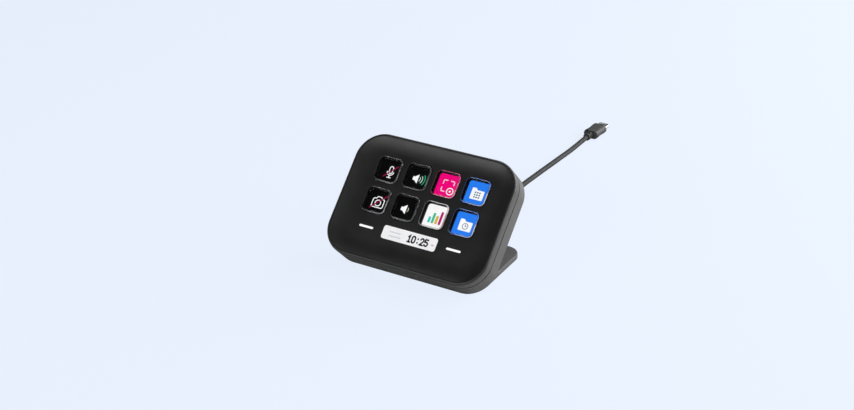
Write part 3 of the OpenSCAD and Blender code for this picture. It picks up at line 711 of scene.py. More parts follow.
@dataclass
class Shape:
    """Gathers patches of faces and makes one welded mesh of them.

    Attributes:
        name: the piece's name.
        finishes: one finish for each material slot.
    """

    name: str
    finishes: list[Finish]
    points: list[np.ndarray] = field(default_factory=list)
    faces: list[list[int]] = field(default_factory=list)
    slots: list[int] = field(default_factory=list)
    count: int = 0

    def _take(self, points: np.ndarray, faces: np.ndarray, slot: int) -> None:
        """Adds points and the faces that index them.

        Args:
            points: an array whose last axis is x, y, z.
            faces: rows of indices into those points.
            slot: material slot.
        """
        self.points.append(points.reshape(-1, 3))
        self.faces += (faces + self.count).tolist()
        self.slots += [slot] * len(faces)
        self.count += len(self.points[-1])

    def grid(self, points: np.ndarray, slot: int = 0) -> None:
        """Adds a grid of quads, of shape (around, along, 3), with its last row joined to its first.

        Args:
            points: an array of shape (around, along, 3).
            slot: material slot.
        """
        rows, columns = points.shape[:2]
        here = np.arange(rows)[:, None] * columns + np.arange(columns - 1)[None, :]
        after = np.roll(here, -1, axis=0)
        quads = np.stack([here, here + 1, after + 1, after], axis=-1)
        self._take(points, quads.reshape(-1, 4), slot)

    def fill(self, loops: Loops, slot: int = 0) -> None:
        """Fills a flat region between loops: the first is its outside and the rest are holes."""
        triangles = tessellate_polygon([[Vector(p) for p in loop] for loop in loops])
        self._take(np.concatenate(loops), np.array(triangles), slot)

    def close(self, skin: np.ndarray, slot: int = 0) -> None:
        """Adds a grid and fills its first and its last loop.

        Args:
            skin: a grid of points.
            slot: material slot.
        """
        self.grid(skin, slot)
        self.fill([skin[:, 0]], slot)
        self.fill([skin[:, -1]], slot)

    def close_pair(self, first: np.ndarray, second: np.ndarray, slots: tuple[int, int, int, int]) -> None:
        """Adds two grids that meet, and fills the first loop of the one and the last loop of the other.

        Args:
            first: the grid whose first loop is filled.
            second: the grid whose last loop is filled.
            slots: material slots of the first grid, the second, the first filling and the second.
        """
        self.grid(first, slots[0])
        self.grid(second, slots[1])
        self.fill([first[:, 0]], slots[2])
        self.fill([second[:, -1]], slots[3])

    def prism(self, loops: Loops, low: float, high: float, slot: int = 0) -> None:
        """Adds a flat plate between two heights, from loops of x and y.

        Args:
            loops: the outside and then the holes, as x and y.
            low: lower height.
            high: upper height.
            slot: material slot.
        """
        levels = [[np.column_stack([loop, np.full(len(loop), z)]) for loop in loops] for z in (low, high)]
        for level in levels:
            self.fill(level, slot)
        for bottom, top in zip(*levels):
            self.grid(np.stack([bottom, top], axis=1), slot)

    def build(self, plane: Placing = FACE_PLANE, sharp: float = 35.0) -> Piece:
        """Makes the mesh, welded, with its faces outwards.

        Args:
            plane: the frame that the points are in.
            sharp: edges that turn by more than this many degrees stay sharp.

        Returns:
            The object, linked to the scene.
        """
        placed = plane.place(np.concatenate(self.points)) * MM
        mesh = bpy.data.meshes.new(self.name)
        mesh.from_pydata(placed.tolist(), [], self.faces)
        for finish in self.finishes:
            mesh.materials.append(finish.material())
        mesh.polygons.foreach_set("material_index", self.slots)
        return finished(self.name, mesh, sharp)


def finished(name: str, mesh: bpy.types.Mesh, sharp: float) -> Piece:
    """Welds a mesh, turns its faces outwards, shades it smooth between sharp edges and links it.

    Args:
        name: the piece's name.
        mesh: the mesh.
        sharp: edges that turn by more than this many degrees stay sharp.

    Returns:
        The object.
    """
    work = bmesh.new()
    work.from_mesh(mesh)
    bmesh.ops.remove_doubles(work, verts=work.verts, dist=WELD * MM)
    bmesh.ops.dissolve_degenerate(work, edges=work.edges, dist=SHORTEST * MM)
    bmesh.ops.recalc_face_normals(work, faces=work.faces)
    work.to_mesh(mesh)
    work.free()
    mesh.shade_smooth()
    mesh.set_sharp_from_angle(angle=math.radians(sharp))
    return linked(name, mesh)


def seat(piece: Piece, body: str, slot: str, *nodes: str) -> Piece:
    """Rides a piece on its body, hides the nodes that it stands for, and reports it.

    Args:
        piece: the object.
        body: the body that it moves with.
        slot: the finish's slot; not used.
        *nodes: the nodes that it stands for.

    Returns:
        The same object.
    """
    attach(piece, body)
    if nodes:
        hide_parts(*nodes)
    LOG.info("%s: %d faces, on %s", piece.name, len(getattr(piece.data, "polygons", [])), body)
    return piece


# ---------------------------------------------------------------- the housing


@dataclass
class FrontShell:
    """The charcoal moulding: rim, dished slope, flat face with its openings, and side wall. Millimetres."""

    width: float = 107.0
    height: float = 78.0
    corner: float = 17.5
    rim_round: float = 1.2
    rim_flat: float = 0.4
    dish_depth: float = 2.0
    dish_width: float = 11.0
    face_wall: float = 1.6
    side_wall: float = 2.0
    lower: float = -6.45
    lower_round: float = 0.45
    key_opening: float = 16.4
    key_corner: float = 3.4
    window: Triple = (36.2, 8.2, 1.4)
    bar_slot: Triple = (9.8, 1.7, 0.845)
    edge_round: float = 0.22
    pocket: Triple = (39.3, 11.3, 0.8)
    pocket_z: float = -3.3
    bosses: tuple[Pair, ...] = ((44.9, 30.2), (46.5, 7.0))
    boss: tuple[float, ...] = (2.8, 1.3, -12.4, -4.6)
    posts: tuple[Pair, ...] = ((45.0, 19.0), (45.0, -21.0))
    post: tuple[float, ...] = (2.2, 0.95, -9.05, -4.6)
    root_z: float = -2.5
    mouth_edge: float = 0.2
    boss_edge: float = 0.3

    def section(self) -> np.ndarray:
        """The shell's whole section from the flat face over the rim to the underside, as offset and height.

        The dish is an arc that leaves the flat face level: offset = start + R sin t, height = R (1 - cos t)
        below the rim, with R from the dish's width and depth. The underside is the same arc, a wall lower.

        Returns:
            Rows of offset and height.
        """
        radius = (self.dish_width**2 + self.dish_depth**2) / (2 * self.dish_depth)
        start = -(self.rim_round + self.rim_flat + self.dish_width)
        reach = math.asin(self.dish_width / radius)
        turn = np.linspace(0, reach, 20)
        rise = radius * (1 - np.cos(turn)) - self.dish_depth
        slope = np.stack([start + radius * np.sin(turn), rise], axis=1)
        rim = arc((-self.rim_round, -self.rim_round), self.rim_round, 90, 0, 10)
        edge = self.lower_round
        foot = arc((-edge, self.lower + edge), edge, 0, -90, 6)
        under_radius = radius + self.face_wall
        back = np.linspace(math.asin((-self.side_wall - start) / under_radius), 0, 14)
        fall = radius - self.dish_depth
        under = np.stack([start + under_radius * np.sin(back), fall - under_radius * np.cos(back)], axis=1)
        inner = np.array([[-self.side_wall, self.lower]])
        return landed(landed(np.concatenate([slope, rim, foot, inner, under])), end=True)

    def openings(self) -> list[tuple[Edge, Pair]]:
        """The outline and the middle of each opening in the face.

        Returns:
            An outline and a middle for each.
        """
        key = outline(self.key_opening, self.key_opening, self.key_corner)
        found = [(key, place) for place in key_places()]
        found.append((outline(*self.window, steps=8), (0.0, ROW_Y)))
        bar = outline(*self.bar_slot, steps=8)
        return found + [(bar, (side * TOUCH_X, ROW_Y)) for side in (-1, 1)]

    def build(self) -> Piece:
        """Makes the shell as one closed mesh.

        The section is carried round the outline, each opening's rounded lip and wall round its own outline,
        and the flat face and its underside are filled between them.

        Returns:
            The shell, which rides on the housing.
        """
        shape = Shape("front_case", [Plastics.FACE.value, Plastics.SIDE_PAINTED_LIGHTER.value])
        section = self.section()
        skin = sweep(outline(self.width, self.height, self.corner, 28), section)
        rim_end = int(np.argmax(section[:, 0]))
        shape.grid(skin[:, :rim_end + 1])
        # From the rim on, the side wall and the underside take the paler copy of the face plastic: a painted
        # lighter tone for the light on the wall.
        shape.grid(skin[:, rim_end:], 1)
        top, under = [skin[:, 0]], [skin[:, -1]]
        radius = self.edge_round
        flat, low = -self.dish_depth, -self.dish_depth - self.face_wall
        lip = arc((radius, flat - radius), radius, 90, 180, 4)
        for edge, place in self.openings():
            in_pocket = place == (0.0, ROW_Y)
            end = self.pocket_z if in_pocket else low
            hole = sweep(edge, np.vstack([[radius + LAND, flat], lip, [0.0, end]]), place)
            shape.grid(hole)
            top.append(hole[:, 0])
            if in_pocket:
                pocket = sweep(outline(*self.pocket, steps=6), np.array([[0, end], [0, low]]), place)
                shape.grid(pocket)
                shape.fill([pocket[:, 0], hole[:, -1]])
                hole = pocket
            under.append(hole[:, -1])
        shape.fill(top)
        shape.fill(under)
        for places, sizes in ((self.bosses, self.boss), (self.posts, self.post)):
            for x, y in places:
                for side in (-1, 1):
                    self.add_boss(shape, (side * x, y), sizes)
        return seat(shape.build(), HOUSING, "face_plastic", "front_shell")

    def add_boss(self, shape: Shape, place: Pair, sizes: tuple[float, ...]) -> None:
        """Adds a round boss with its blind pilot hole: a turned section, rooted in the face's thickness.

        Args:
            shape: the shell's shape.
            place: the boss's middle on the face.
            sizes: the boss's radius, the hole's radius, the boss's lower end and the hole's upper end.
        """
        radius, pilot, low, high = sizes
        mouth, edge = self.mouth_edge, self.boss_edge
        section = np.array([
            [0, high], [pilot, high], [pilot, low + mouth], [pilot + mouth, low], [radius - edge, low],
            [radius, low + edge], [radius, self.root_z], [0, self.root_z],
        ])
        shape.grid(revolve(section, 32) + np.array([*place, 0.0]))


def key_places() -> list[Pair]:
    """The middles of the eight keys on the face, upper row first, in millimetres.

    Returns:
        Each middle as x and y.
    """
    pitch_x, pitch_y, middle = 19.6, 19.8, 7.8
    rows = [middle + (0.5 - row) * pitch_y for row in (0, 1)]
    return [((column - 1.5) * pitch_x, y) for y in rows for column in range(4)]


@dataclass
class RearShell:
    """The grey moulding with its foot: the construction's own shape with softened edges. Millimetres."""

    edge: float = 0.12
    sharp: float = 40.0

    def build(self) -> Piece:
        """Copies the construction's mesh, welds it and rounds its sharp edges.

        Returns:
            The shell, which rides on the housing.
        """
        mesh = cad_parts["rear_shell"].data.copy()
        mesh.materials.clear()
        mesh.materials.append(Plastics.REAR.value.material())
        piece = finished("rear_case", mesh, self.sharp)
        soften = piece.modifiers.new("edges", "BEVEL")
        soften.width = self.edge * MM
        soften.segments = 2
        soften.limit_method = "ANGLE"
        soften.angle_limit = math.radians(self.sharp)
        soften.harden_normals = True
        return seat(piece, HOUSING, "rear_plastic", "rear_shell")


# ---------------------------------------------------------------- keys and pictures


@dataclass
class ClearKey:
    """A clear cap with a rounded top edge and the flange that holds it under the face. Millimetres.

    Its top and bottom are polished and let the picture through. Its side walls carry a black coat, which
    keeps the light of one picture out of the next, and its rounded edge has the mould's softer polish.
    """

    size: float = 16.0
    corner: float = 3.2
    round: float = 0.85
    top: float = -1.0
    flange_top: float = -3.65
    bottom: float = -4.45
    flange: float = 0.9

    def build(self, number: int, place: Pair) -> Piece:
        """Makes one cap.

        Args:
            number: the key's number, from 1.
            place: the key's middle on the face.

        Returns:
            The cap, which rides on its own body.
        """
        edge = outline(self.size, self.size, self.corner, 12)
        rounding = arc((-self.round, self.top - self.round), self.round, 90, 0, 12)
        high, out = self.flange_top, self.flange
        side = np.array([rounding[-1], [0, high], [out, high], [out, self.bottom]])
        shape = Shape(f"clear_key_{number}", [CLEAR_KEY, KEY_EDGE, Plastics.COAT.value])
        top, wall = sweep(edge, landed(rounding), place), sweep(edge, side, place)
        shape.close_pair(top, wall, (1, 2, 0, 0))
        return seat(shape.build(sharp=50), f"key_{number}", "key_clear", f"key_{number}")


def line(path: list | np.ndarray, width: float) -> Loops:
    """A stroke of one width with round ends.

    Each side is the path moved by half the width along the mitred normal, and half circles close the ends.

    Args:
        path: points along the stroke.
        width: the stroke's width.

    Returns:
        One closed loop.
    """
    points = np.asarray(path, float)
    step = np.diff(points, axis=0)
    step /= np.linalg.norm(step, axis=1)[:, None]
    normal = np.stack([-step[:, 1], step[:, 0]], axis=1)
    before, after = np.vstack([normal[:1], normal]), np.vstack([normal, normal[-1:]])
    mitre = before + after
    mitre /= np.sum(mitre * before, axis=1)[:, None]
    half = width / 2
    heading = [math.degrees(math.atan2(s[1], s[0])) for s in (step[0], step[-1])]
    start = arc(points[0], half, heading[0] + 90, heading[0] + 270)
    end = arc(points[-1], half, heading[1] - 90, heading[1] + 90)
    return [np.vstack([start, (points - half * mitre)[1:-1], end, (points + half * mitre)[-2:0:-1]])]


def band(path: np.ndarray, width: float) -> Loops:
    """A closed stroke: the path moved out and in by half the width along its normals.

    Args:
        path: points round the stroke, counter-clockwise.
        width: the stroke's width.

    Returns:
        The outer and the inner loop.
    """
    ahead, behind = np.roll(path, -1, axis=0) - path, path - np.roll(path, 1, axis=0)
    ahead, behind = (v / np.maximum(np.linalg.norm(v, axis=1)[:, None], 1e-9) for v in (ahead, behind))
    out = np.stack([ahead[:, 1] + behind[:, 1], -ahead[:, 0] - behind[:, 0]], axis=1)
    out /= np.sum(out * np.stack([ahead[:, 1], -ahead[:, 0]], axis=1), axis=1)[:, None]
    return [path + width / 2 * out, path - width / 2 * out]


def ring(centre: Pair, radius: float) -> np.ndarray:
    """A circle's outline."""
    return arc(centre, radius, 0, 345, 23)


def box(centre: Pair, width: float, height: float, radius: float) -> np.ndarray:
    """A rounded rectangle's outline round a centre."""
    return outline(width, height, radius, 5)[0] + np.array(centre)


# Marks of a picture, lowest first: each has its ink and its loops.
Marks = list[tuple[Ink, Loops]]


@dataclass
class Picture:
    """One lit picture: a background and the marks on it, each in its own layer. Millimetres from its middle.

    Attributes:
        ground: the background's ink.
        marks: each mark's ink and loops, lowest first.
    """

    ground: Ink
    marks: Marks


def muted(marks: Marks, reach: float) -> Marks:
    """Adds the crimson stroke that says a thing is off, a reach long each way from its middle."""
    low, high = (0.25 - reach, 0.2 - reach), (0.25 + reach, 0.4 + reach)
    return marks + [(Ink.CRIMSON, line([low, high], 0.75))]


def microphone() -> Marks:
    """A microphone: capsule outline, cradle, stem and base.

    Returns:
        Its marks.
    """
    capsule = outline(2.2, 4.5, 1.09, 8)[0] + np.array([0.3, 1.25])
    return [
        (Ink.WHITE, band(capsule, 0.55)),
        (Ink.WHITE, line(arc((0.3, 0.15), 2.2, 185, 355, 14), 0.55)),
        (Ink.WHITE, line([(0.3, -2.1), (0.3, -3.4)], 0.6)),
        (Ink.WHITE, line([(-0.9, -3.6), (1.5, -3.6)], 0.55)),
    ]


def speaker() -> Marks:
    """A speaker's box and horn as one filled shape."""
    horn = [(-3.8, -1.15), (-2.6, -1.15), (-0.3, -3.0), (-0.3, 2.95), (-2.6, 1.1), (-3.8, 1.1)]
    return [(Ink.WHITE, [np.array(horn)])]


def waves(*rings: tuple[Ink, float, float]) -> Marks:
    """Arcs of sound in front of a speaker, each with its ink, its radius and half its angle in degrees."""
    return [(ink, line(arc((-0.6, 0), radius, -half, half, 10), 0.42)) for ink, radius, half in rings]


def capture_corners() -> Marks:
    """Three corner brackets, with a ring and a dot in the place of the fourth.

    Returns:
        Its marks.
    """
    reach, leg, turn = 3.5, 2.3, 0.7
    marks = []
    for x, y, upright, level in ((-1, 1, 180, 90), (1, 1, 0, 90), (-1, -1, 180, 270)):
        corner = np.array([0.1, 0.1]) + np.array([x, y]) * reach
        bend = arc(corner - np.array([x, y]) * turn, turn, upright, level, 4)
        path = np.vstack([corner - [0, y * leg], bend, corner - [x * leg, 0]])
        marks.append((Ink.BLUSH, line(path, 0.6)))
    middle = (2.5, -2.75)
    return marks + [(Ink.WHITE, band(ring(middle, 2.05), 0.55)), (Ink.WHITE, [ring(middle, 0.6)])]


def folder(mark: Marks) -> Marks:
    """A folder with its tab, and marks on it.

    Args:
        mark: what lies on the folder.

    Returns:
        The folder with its marks.
    """
    body = box((0.15, -0.75), 8.1, 5.9, 0.6)
    tab = np.array([(-3.9, 0.5), (-3.9, 3.0), (-3.5, 3.4), (-1.3, 3.4), (-0.5, 2.2), (0.3, 0.5)])
    return [(Ink.WHITE, [tab[::-1]]), (Ink.WHITE, [body])] + mark


def dot_grid() -> Marks:
    """Nine dots in a square."""
    return [(Ink.NAVY, [ring((x, y), 0.5)]) for x in (-1.3, 0.15, 1.6) for y in (-2.2, -0.75, 0.7)]


def camera_outline() -> Marks:
    """A camera: body with its hump, and a lens ring.

    Returns:
        Its marks.
    """
    body = np.array([
        (-3.8, -2.8), (-3.2, -3.4), (3.2, -3.4), (3.8, -2.8), (3.8, 1.4), (3.2, 2.1), (2.0, 2.1),
        (1.2, 3.3), (-1.2, 3.3), (-2.0, 2.1), (-3.2, 2.1), (-3.8, 1.4),
    ])
    return [(Ink.WHITE, band(body, 0.55)), (Ink.WHITE, band(ring((0.0, -0.6), 1.85), 0.55))]


def clock_ring() -> Marks:
    """A ring with two hands.

    Returns:
        Its marks.
    """
    middle = (0.15, -0.75)
    hands = [(0.15, 0.3), middle, (0.95, -0.75)]
    return [(Ink.HAZE, band(ring(middle, 1.75), 0.5)), (Ink.HAZE, line(hands, 0.5))]


def colour_bars() -> Marks:
    """Four upright bars of different heights and colours that stand on one level.

    Returns:
        Its marks.
    """
    bars = ((Ink.CYAN, 3.8), (Ink.LEAF, 6.6), (Ink.AMBER, 5.2), (Ink.MAGENTA, 8.2))
    return [
        (ink, [box(((k - 1.5) * 2.3, -4.1 + height / 2), 1.6, height, 0.6)])
        for k, (ink, height) in enumerate(bars)
    ]


LOUD = waves((Ink.MINT, 1.7, 45), (Ink.MINT, 3.2, 40), (Ink.LEAF, 4.8, 38), (Ink.GREEN, 6.4, 26))
PICTURES = (
    Picture(Ink.BLACK, muted(microphone(), 3.7)),
    Picture(Ink.BLACK, speaker() + LOUD),
    Picture(Ink.PINK, capture_corners()),
    Picture(Ink.BLUE, folder(dot_grid())),
    Picture(Ink.BLACK, muted(camera_outline(), 4.5)),
    Picture(Ink.BLACK, speaker() + waves((Ink.WARM, 1.7, 42))),
    Picture(Ink.CREAM, colour_bars()),
    Picture(Ink.BLUE, folder(clock_ring())),
)


@dataclass
class PictureCells:
    """The lit cells of the display panel, one under each key. Millimetres.

    A mark rises by one layer, and by a share of a layer more for its place in the order. The marks' own
    middle lies a shift to the right of their origin.
    """

    size: float = 14.6
    corner: float = 1.6
    low: float = -7.24
    top: float = -6.72
    layer: float = 0.02
    more: float = 0.1
    shift: float = 0.3

    def build(self, number: int, place: Pair, picture: Picture) -> Piece:
        """Makes one cell.

        Args:
            number: the key's number, from 1.
            place: the key's middle on the face.
            picture: what it shows.

        Returns:
            The cell, with its marks raised.
        """
        inks = [picture.ground]
        shape = Shape(f"picture_{number}", [])
        shape.prism([box(place, self.size, self.size, self.corner)], self.low, self.top, 0)
        for depth, (ink, loops) in enumerate(picture.marks, 1):
            if ink not in inks:
                inks.append(ink)
            moved = [loop + np.array(place) - np.array([self.shift, 0.0]) for loop in loops]
            high = self.top + self.layer * (1 + self.more * depth)
            shape.prism(moved, self.top - self.layer, high, inks.index(ink))
        shape.finishes = [ink.value for ink in inks]
        return seat(shape.build(), HOUSING, "display_glass")


# The digits' stroke in millimetres, and the strokes of each sign.
STEM = 0.9
DIGITS: dict[str, list[Loops]] = {
    "0": [band(outline(1.95, 3.5, 0.95, 8)[0], STEM)],
    "1": [line([(-0.75, 0.95), (0.05, 1.72), (0.05, -1.7)], STEM), line([(-0.8, -1.75), (0.9, -1.75)], STEM)],
    "2": [line([*arc((0, 0.78), 0.95, 170, -35, 12), (-0.95, -1.75), (1.0, -1.75)], STEM)],
    "5": [line([(0.85, 1.75), (-0.75, 1.75), (-0.85, 0.35), *arc((0, -0.65), 1.05, 105, -150, 14)], STEM)],
    ":": [[ring((0, 0.95), 0.5)], [ring((0, -1.1), 0.5)]],
}


@dataclass
class InfoBar:
    """The information bar: its clear lens and the white picture under it. Millimetres.

    Its faint text is drawn as short bars: row is their height and corner, and rows has the slot, the middle
    and the width of each.
    """

    width: float = 36.1
    height: float = 8.1
    corner: float = 1.4
    lens_top: float = -2.1
    lens_low: float = -3.3
    picture_low: float = -3.345
    picture_top: float = -3.325
    digit_pitch: float = 2.8
    digit_x: float = -0.2
    digit_scale: Pair = (1.02, 1.12)
    text: str = "10:25"
    soft: float = 0.15
    margin: float = 0.1
    layer: float = 0.01
    row: Pair = (0.8, 0.35)
    rows: tuple[tuple, ...] = ((2, -10.2, 1.1, 7.6), (2, -9.6, -1.4, 8.0), (3, 15.3, -0.3, 2.0))

    def lens(self) -> Piece:
        """Makes the lens: its section, a quarter round and a straight edge, is carried round the outline.

        Returns:
            The lens, which rides on the housing.
        """
        rounding = arc((-self.soft, self.lens_top - self.soft), self.soft, 90, 0, 4)
        section = landed(np.vstack([rounding, [0, self.lens_low]]))
        shape = Shape("bar_lens", [CLEAR_LENS])
        shape.close(sweep(outline(self.width, self.height, self.corner, 8), section, (0, ROW_Y)))
        return seat(shape.build(), HOUSING, "lens_clear", "info_lens")

    def picture(self) -> Piece:
        """Makes the white ground, the digits, two faint rows beside them and a short pale red one.

        Returns:
            The picture, which rides on the housing.
        """
        shape = Shape("bar_picture", [ink.value for ink in (Ink.PAPER, Ink.DIGIT, Ink.FAINT, Ink.ROSE)])
        margin = 2 * self.margin
        ground = box((0, ROW_Y), self.width + margin, self.height + margin, self.corner)
        shape.prism([ground], self.picture_low, self.picture_top, 0)
        marks = [
            (1, self.digit_x + k * self.digit_pitch, 0.0, [loop * self.digit_scale for loop in loops])
            for k, letter in enumerate(self.text) for loops in DIGITS[letter]
        ]
        marks += [(slot, x, y, [box((0, 0), width, *self.row)]) for slot, x, y, width in self.rows]
        for slot, x, y, loops in marks:
            moved = [loop + np.array([x, ROW_Y + y]) for loop in loops]
            shape.prism(moved, self.picture_low, self.picture_top + self.layer, slot)
        return seat(shape.build(), HOUSING, "info_glass")


@dataclass
class TouchBar:
    """A milky light guide that shows in its slot as a lit pill with a black coat round it. Millimetres.

    The coat's edge is given as offsets from the bar's outline and from its top.
    """

    length: float = 9.7
    width: float = 1.6
    top: float = -1.93
    low: float = -6.0
    coat: float = 0.14
    dome: float = 0.08
    land: float = 0.04
    coat_edge: tuple[Pair, Pair] = ((-0.12, -0.1), (0.0, -0.25))
    flange: float = 1.0
    flange_z: Pair = (-3.66, -4.4)

    def build(self, side: int, name: str) -> Piece:
        """Makes the bar on one side in place of its node.

        Its crown is a quarter ellipse, coat wide and dome high, that starts level at the bar's top.

        Args:
            side: -1 left or 1 right.
            name: the node that it stands for.

        Returns:
            The bar, which rides on the housing.
        """
        place = (side * TOUCH_X, ROW_Y)
        edge = outline(self.length, self.width, self.width / 2 - NEARLY, 10)
        inset = 2 * self.coat
        crown = arc((0, 0), 1.0, 90, 0, 6) * [self.coat, self.dome] - [inset, 0] + [0, self.top - self.dome]
        crown = np.vstack([[-inset - self.land, self.top], crown])
        high, low = self.flange_z
        coated = np.array([
            crown[-1], *(np.array([0, self.top]) + self.coat_edge), [0, high], [self.flange, high],
            [self.flange, low], [0, low], [0, self.low],
        ])
        shape = Shape(name.replace("touch_bar", "light_bar"), [LIGHT_GUIDE, Plastics.COAT.value])
        shape.close_pair(sweep(edge, crown, place), sweep(edge, coated, place), (0, 1, 0, 1))
        return seat(shape.build(), HOUSING, "light_guide", name)


# ---------------------------------------------------------------- cord


@dataclass
class Cord:
    """The captive cord, 1.5 m long: lead, coil of ten turns in four layers, and run. Millimetres."""

    diameter: float = 3.5
    length: float = 1500.0
    coil: Pair = (-20.0, 66.0)
    outer: float = 25.1
    inner: float = 16.3
    layers: tuple[float, ...] = (12.85, 9.35, 5.85, 2.35)
    turns: float = 2.5
    descent: float = 0.25

    def route(self) -> np.ndarray:
        """The cord's centre line from the strain relief over the coil to the plug.

        In each layer the radius goes evenly from one side of the winding to the other over two and a half
        turns, and the last quarter turn before a new layer also goes down by one diameter.

        Returns:
            Points in the row frame, in millimetres.
        """
        lead = np.array([
            (0, 29.34, 27.43), (0, 31.2, 25.6), (0.2, 33, 24), (0.45, 35.7, 21.9), (0.8, 38.5, 20),
            (1.7, 44.5, 16.9), (2.9, 51, 14.6), (4.2, 58, 13.2), (4.85, 62, 12.9),
        ])
        run = np.array([
            (5.1, 74, 2.3), (5.1, 83, 2), (5.2, 92, 1.8), (5.4, 102, 1.8), (5.6, 112, 1.8), (5.8, 121.5, 1.8),
            (6.5, 131, 1.8), (7.1, 141, 1.8), (7.8, 151, 1.8), (8.5, 160, 1.8), (9.1, 169, 1.8),
            (9.8, 178, 1.8), (10.4, 187, 2), (11, 196, 2.6), (11.6, 204, 3.1),
        ])
        angle = np.linspace(0, self.turns * TAU, 41)
        share = angle / angle[-1]
        drop = np.clip((angle - (self.turns - self.descent) * TAU) / (self.descent * TAU), 0, 1)
        fall = drop * drop * (3 - 2 * drop)
        coils = []
        for k, (level, below) in enumerate(zip(self.layers, self.layers[1:] + self.layers[-1:])):
            start, end = (self.outer, self.inner) if k % 2 == 0 else (self.inner, self.outer)
            radius = start + (end - start) * share
            turned = angle + k * self.turns * TAU
            x, y = self.coil[0] + radius * np.cos(turned), self.coil[1] + radius * np.sin(turned)
            points = np.stack([x, y, level + (below - level) * fall], axis=1)
            coils.append(points[0 if k == 0 else 1:])
        return np.vstack([lead, *coils, run])

    def build_cord(self, pieces: list[Piece]) -> Piece:
        """Args:
            pieces: the pieces that lie on the cord; not used.

        Returns:
            The cord.
        """
        points = self.route() * MM
        curve = bpy.data.curves.new("cord", "CURVE")
        curve.dimensions = "3D"
        curve.bevel_depth = self.diameter / 2 * MM
        curve.bevel_resolution = 4
        curve.resolution_u = 6
        curve.use_fill_caps = True
        spline = curve.splines.new("NURBS")
        spline.points.add(len(points) - 1)
        spline.points.foreach_set("co", np.column_stack([points, np.ones(len(points))]).ravel())
        spline.order_u = 3
        spline.use_endpoint_u = True
        curve.materials.append(CORD_JACKET.material())
        cord = linked("cord", curve)
        seat(cord, HOUSING, "cord_jacket", "cord_lead", "cord_coil", "cord_run")
        return cord


@dataclass
class StrainRelief:
    """The boot at the cord's exit: flange inside the wall, collar outside, ribbed taper. Millimetres."""

    y: float = 18.0
    tip_z: float = -35.4
    tip: float = 2.6
    radius: float = 3.6
    collar: float = 4.9
    collar_z: Pair = (-18.65, -17.45)
    wall_z: float = -15.5
    flange: Triple = (11.0, 11.0, 1.0)
    flange_z: Pair = (-15.55, -13.55)
    bore: float = 1.77
    bore_end: float = -31.4
    core: float = 2.2
    ribs: int = 5
    groove: float = 1.0
    plain: float = 1.55
    soft: float = 0.2

    def section(self) -> np.ndarray:
        """The boot's turned section as radius and height: the bore, the tip, the ribs and the collar.

        The taper's radius goes evenly from the tip to the collar. Between two ribs a groove goes down to
        the core, and both of its edges are quarter rounds.

        Returns:
            Rows of radius and height.
        """
        soft, bore, mouth = self.soft, self.bore, self.soft / 2
        low, (high, top) = self.tip_z, self.collar_z
        edges = [[[0, self.bore_end], [bore, self.bore_end], [bore, low + mouth], [bore + mouth, low]]]
        edges.append(arc((self.tip - 2 * soft, low + 2 * soft), 2 * soft, -90, 0, 4))
        pitch = (high - low - 2 * self.plain) / self.ribs
        for k in range(self.ribs):
            start = low + self.plain + pitch * (k + 1) - self.groove
            end = start + self.groove
            wide = self.tip + (self.radius - self.tip) * (start - low) / (high - low)
            edges.append(arc((wide - soft, start - soft), soft, 0, 90, 4))
            edges.append([[self.core, start], [self.core, end]])
            edges.append(arc((wide - soft, end + soft), soft, -90, 0, 4))
        edges.append([[self.radius, high]])
        edges.append(arc((self.collar - 2 * soft, high + 2 * soft), 2 * soft, -90, 0, 4))
        edges.append(arc((self.collar - soft, top - soft), soft, 0, 90, 2))
        edges.append([[self.radius, top], [self.radius, self.wall_z], [0, self.wall_z]])
        return np.concatenate(edges)

    def build(self) -> Piece:
        """Makes the boot, and its square flange inside the wall.

        Returns:
            The boot, which rides on the housing.
        """
        shape = Shape("cord_boot", [RELIEF_RUBBER])
        shape.grid(revolve(self.section(), 40) + np.array([0.0, self.y, 0.0]))
        shape.prism([outline(*self.flange, steps=4)[0] + np.array([0.0, self.y])], *self.flange_z)
        return seat(shape.build(), HOUSING, "relief_rubber", "strain_relief")


@dataclass
class CableTie:
    """The nylon tie round the coil: a flat band and its head. Millimetres.

    Where the tie sits, the spiral's turns reach from 14.75 to 25.25 mm, and the band lies close round them.
    """

    inner: Triple = (10.7, 14.0, 1.0)
    shift: float = -0.7
    thick: float = 0.6
    width: float = 6.0
    strip_corner: float = 0.15
    head: Triple = (6.0, 3.0, 7.6)
    head_at: Pair = (0.9, 8.55)
    head_corner: float = 0.6
    head_ends: tuple[Pair, ...] = ((0.0, 0.8), (0.12, 0.3), (0.4, 0.0))

    def build(self) -> Piece:
        """Makes the band as a rounded strip carried round the winding, and the head as a rounded block.

        The head's sizes lose an inset near each end, and the far end repeats the near one.

        Returns:
            The tie, which rides on the housing.
        """
        shape = Shape("coil_tie", [Plastics.TIE.value])
        strip = outline(self.thick, self.width, self.strip_corner, 3)[0] + np.array([self.thick / 2, 0.0])
        shape.grid(sweep(outline(*self.inner, steps=6), np.vstack([strip, strip[:1]]), (self.shift, 0.0)))
        wide, tall, deep = self.head
        ends = [(depth - deep / 2, inset) for depth, inset in self.head_ends]
        ends += [(-z, inset) for z, inset in reversed(ends)]
        block = loft([(z, wide - inset, tall - inset) for z, inset in ends], self.head_corner, 4)
        shape.close(block + np.array([*self.head_at, 0.0]))
        return seat(shape.build(TIE_PLACE), HOUSING, "tie_plastic", "cable_tie")


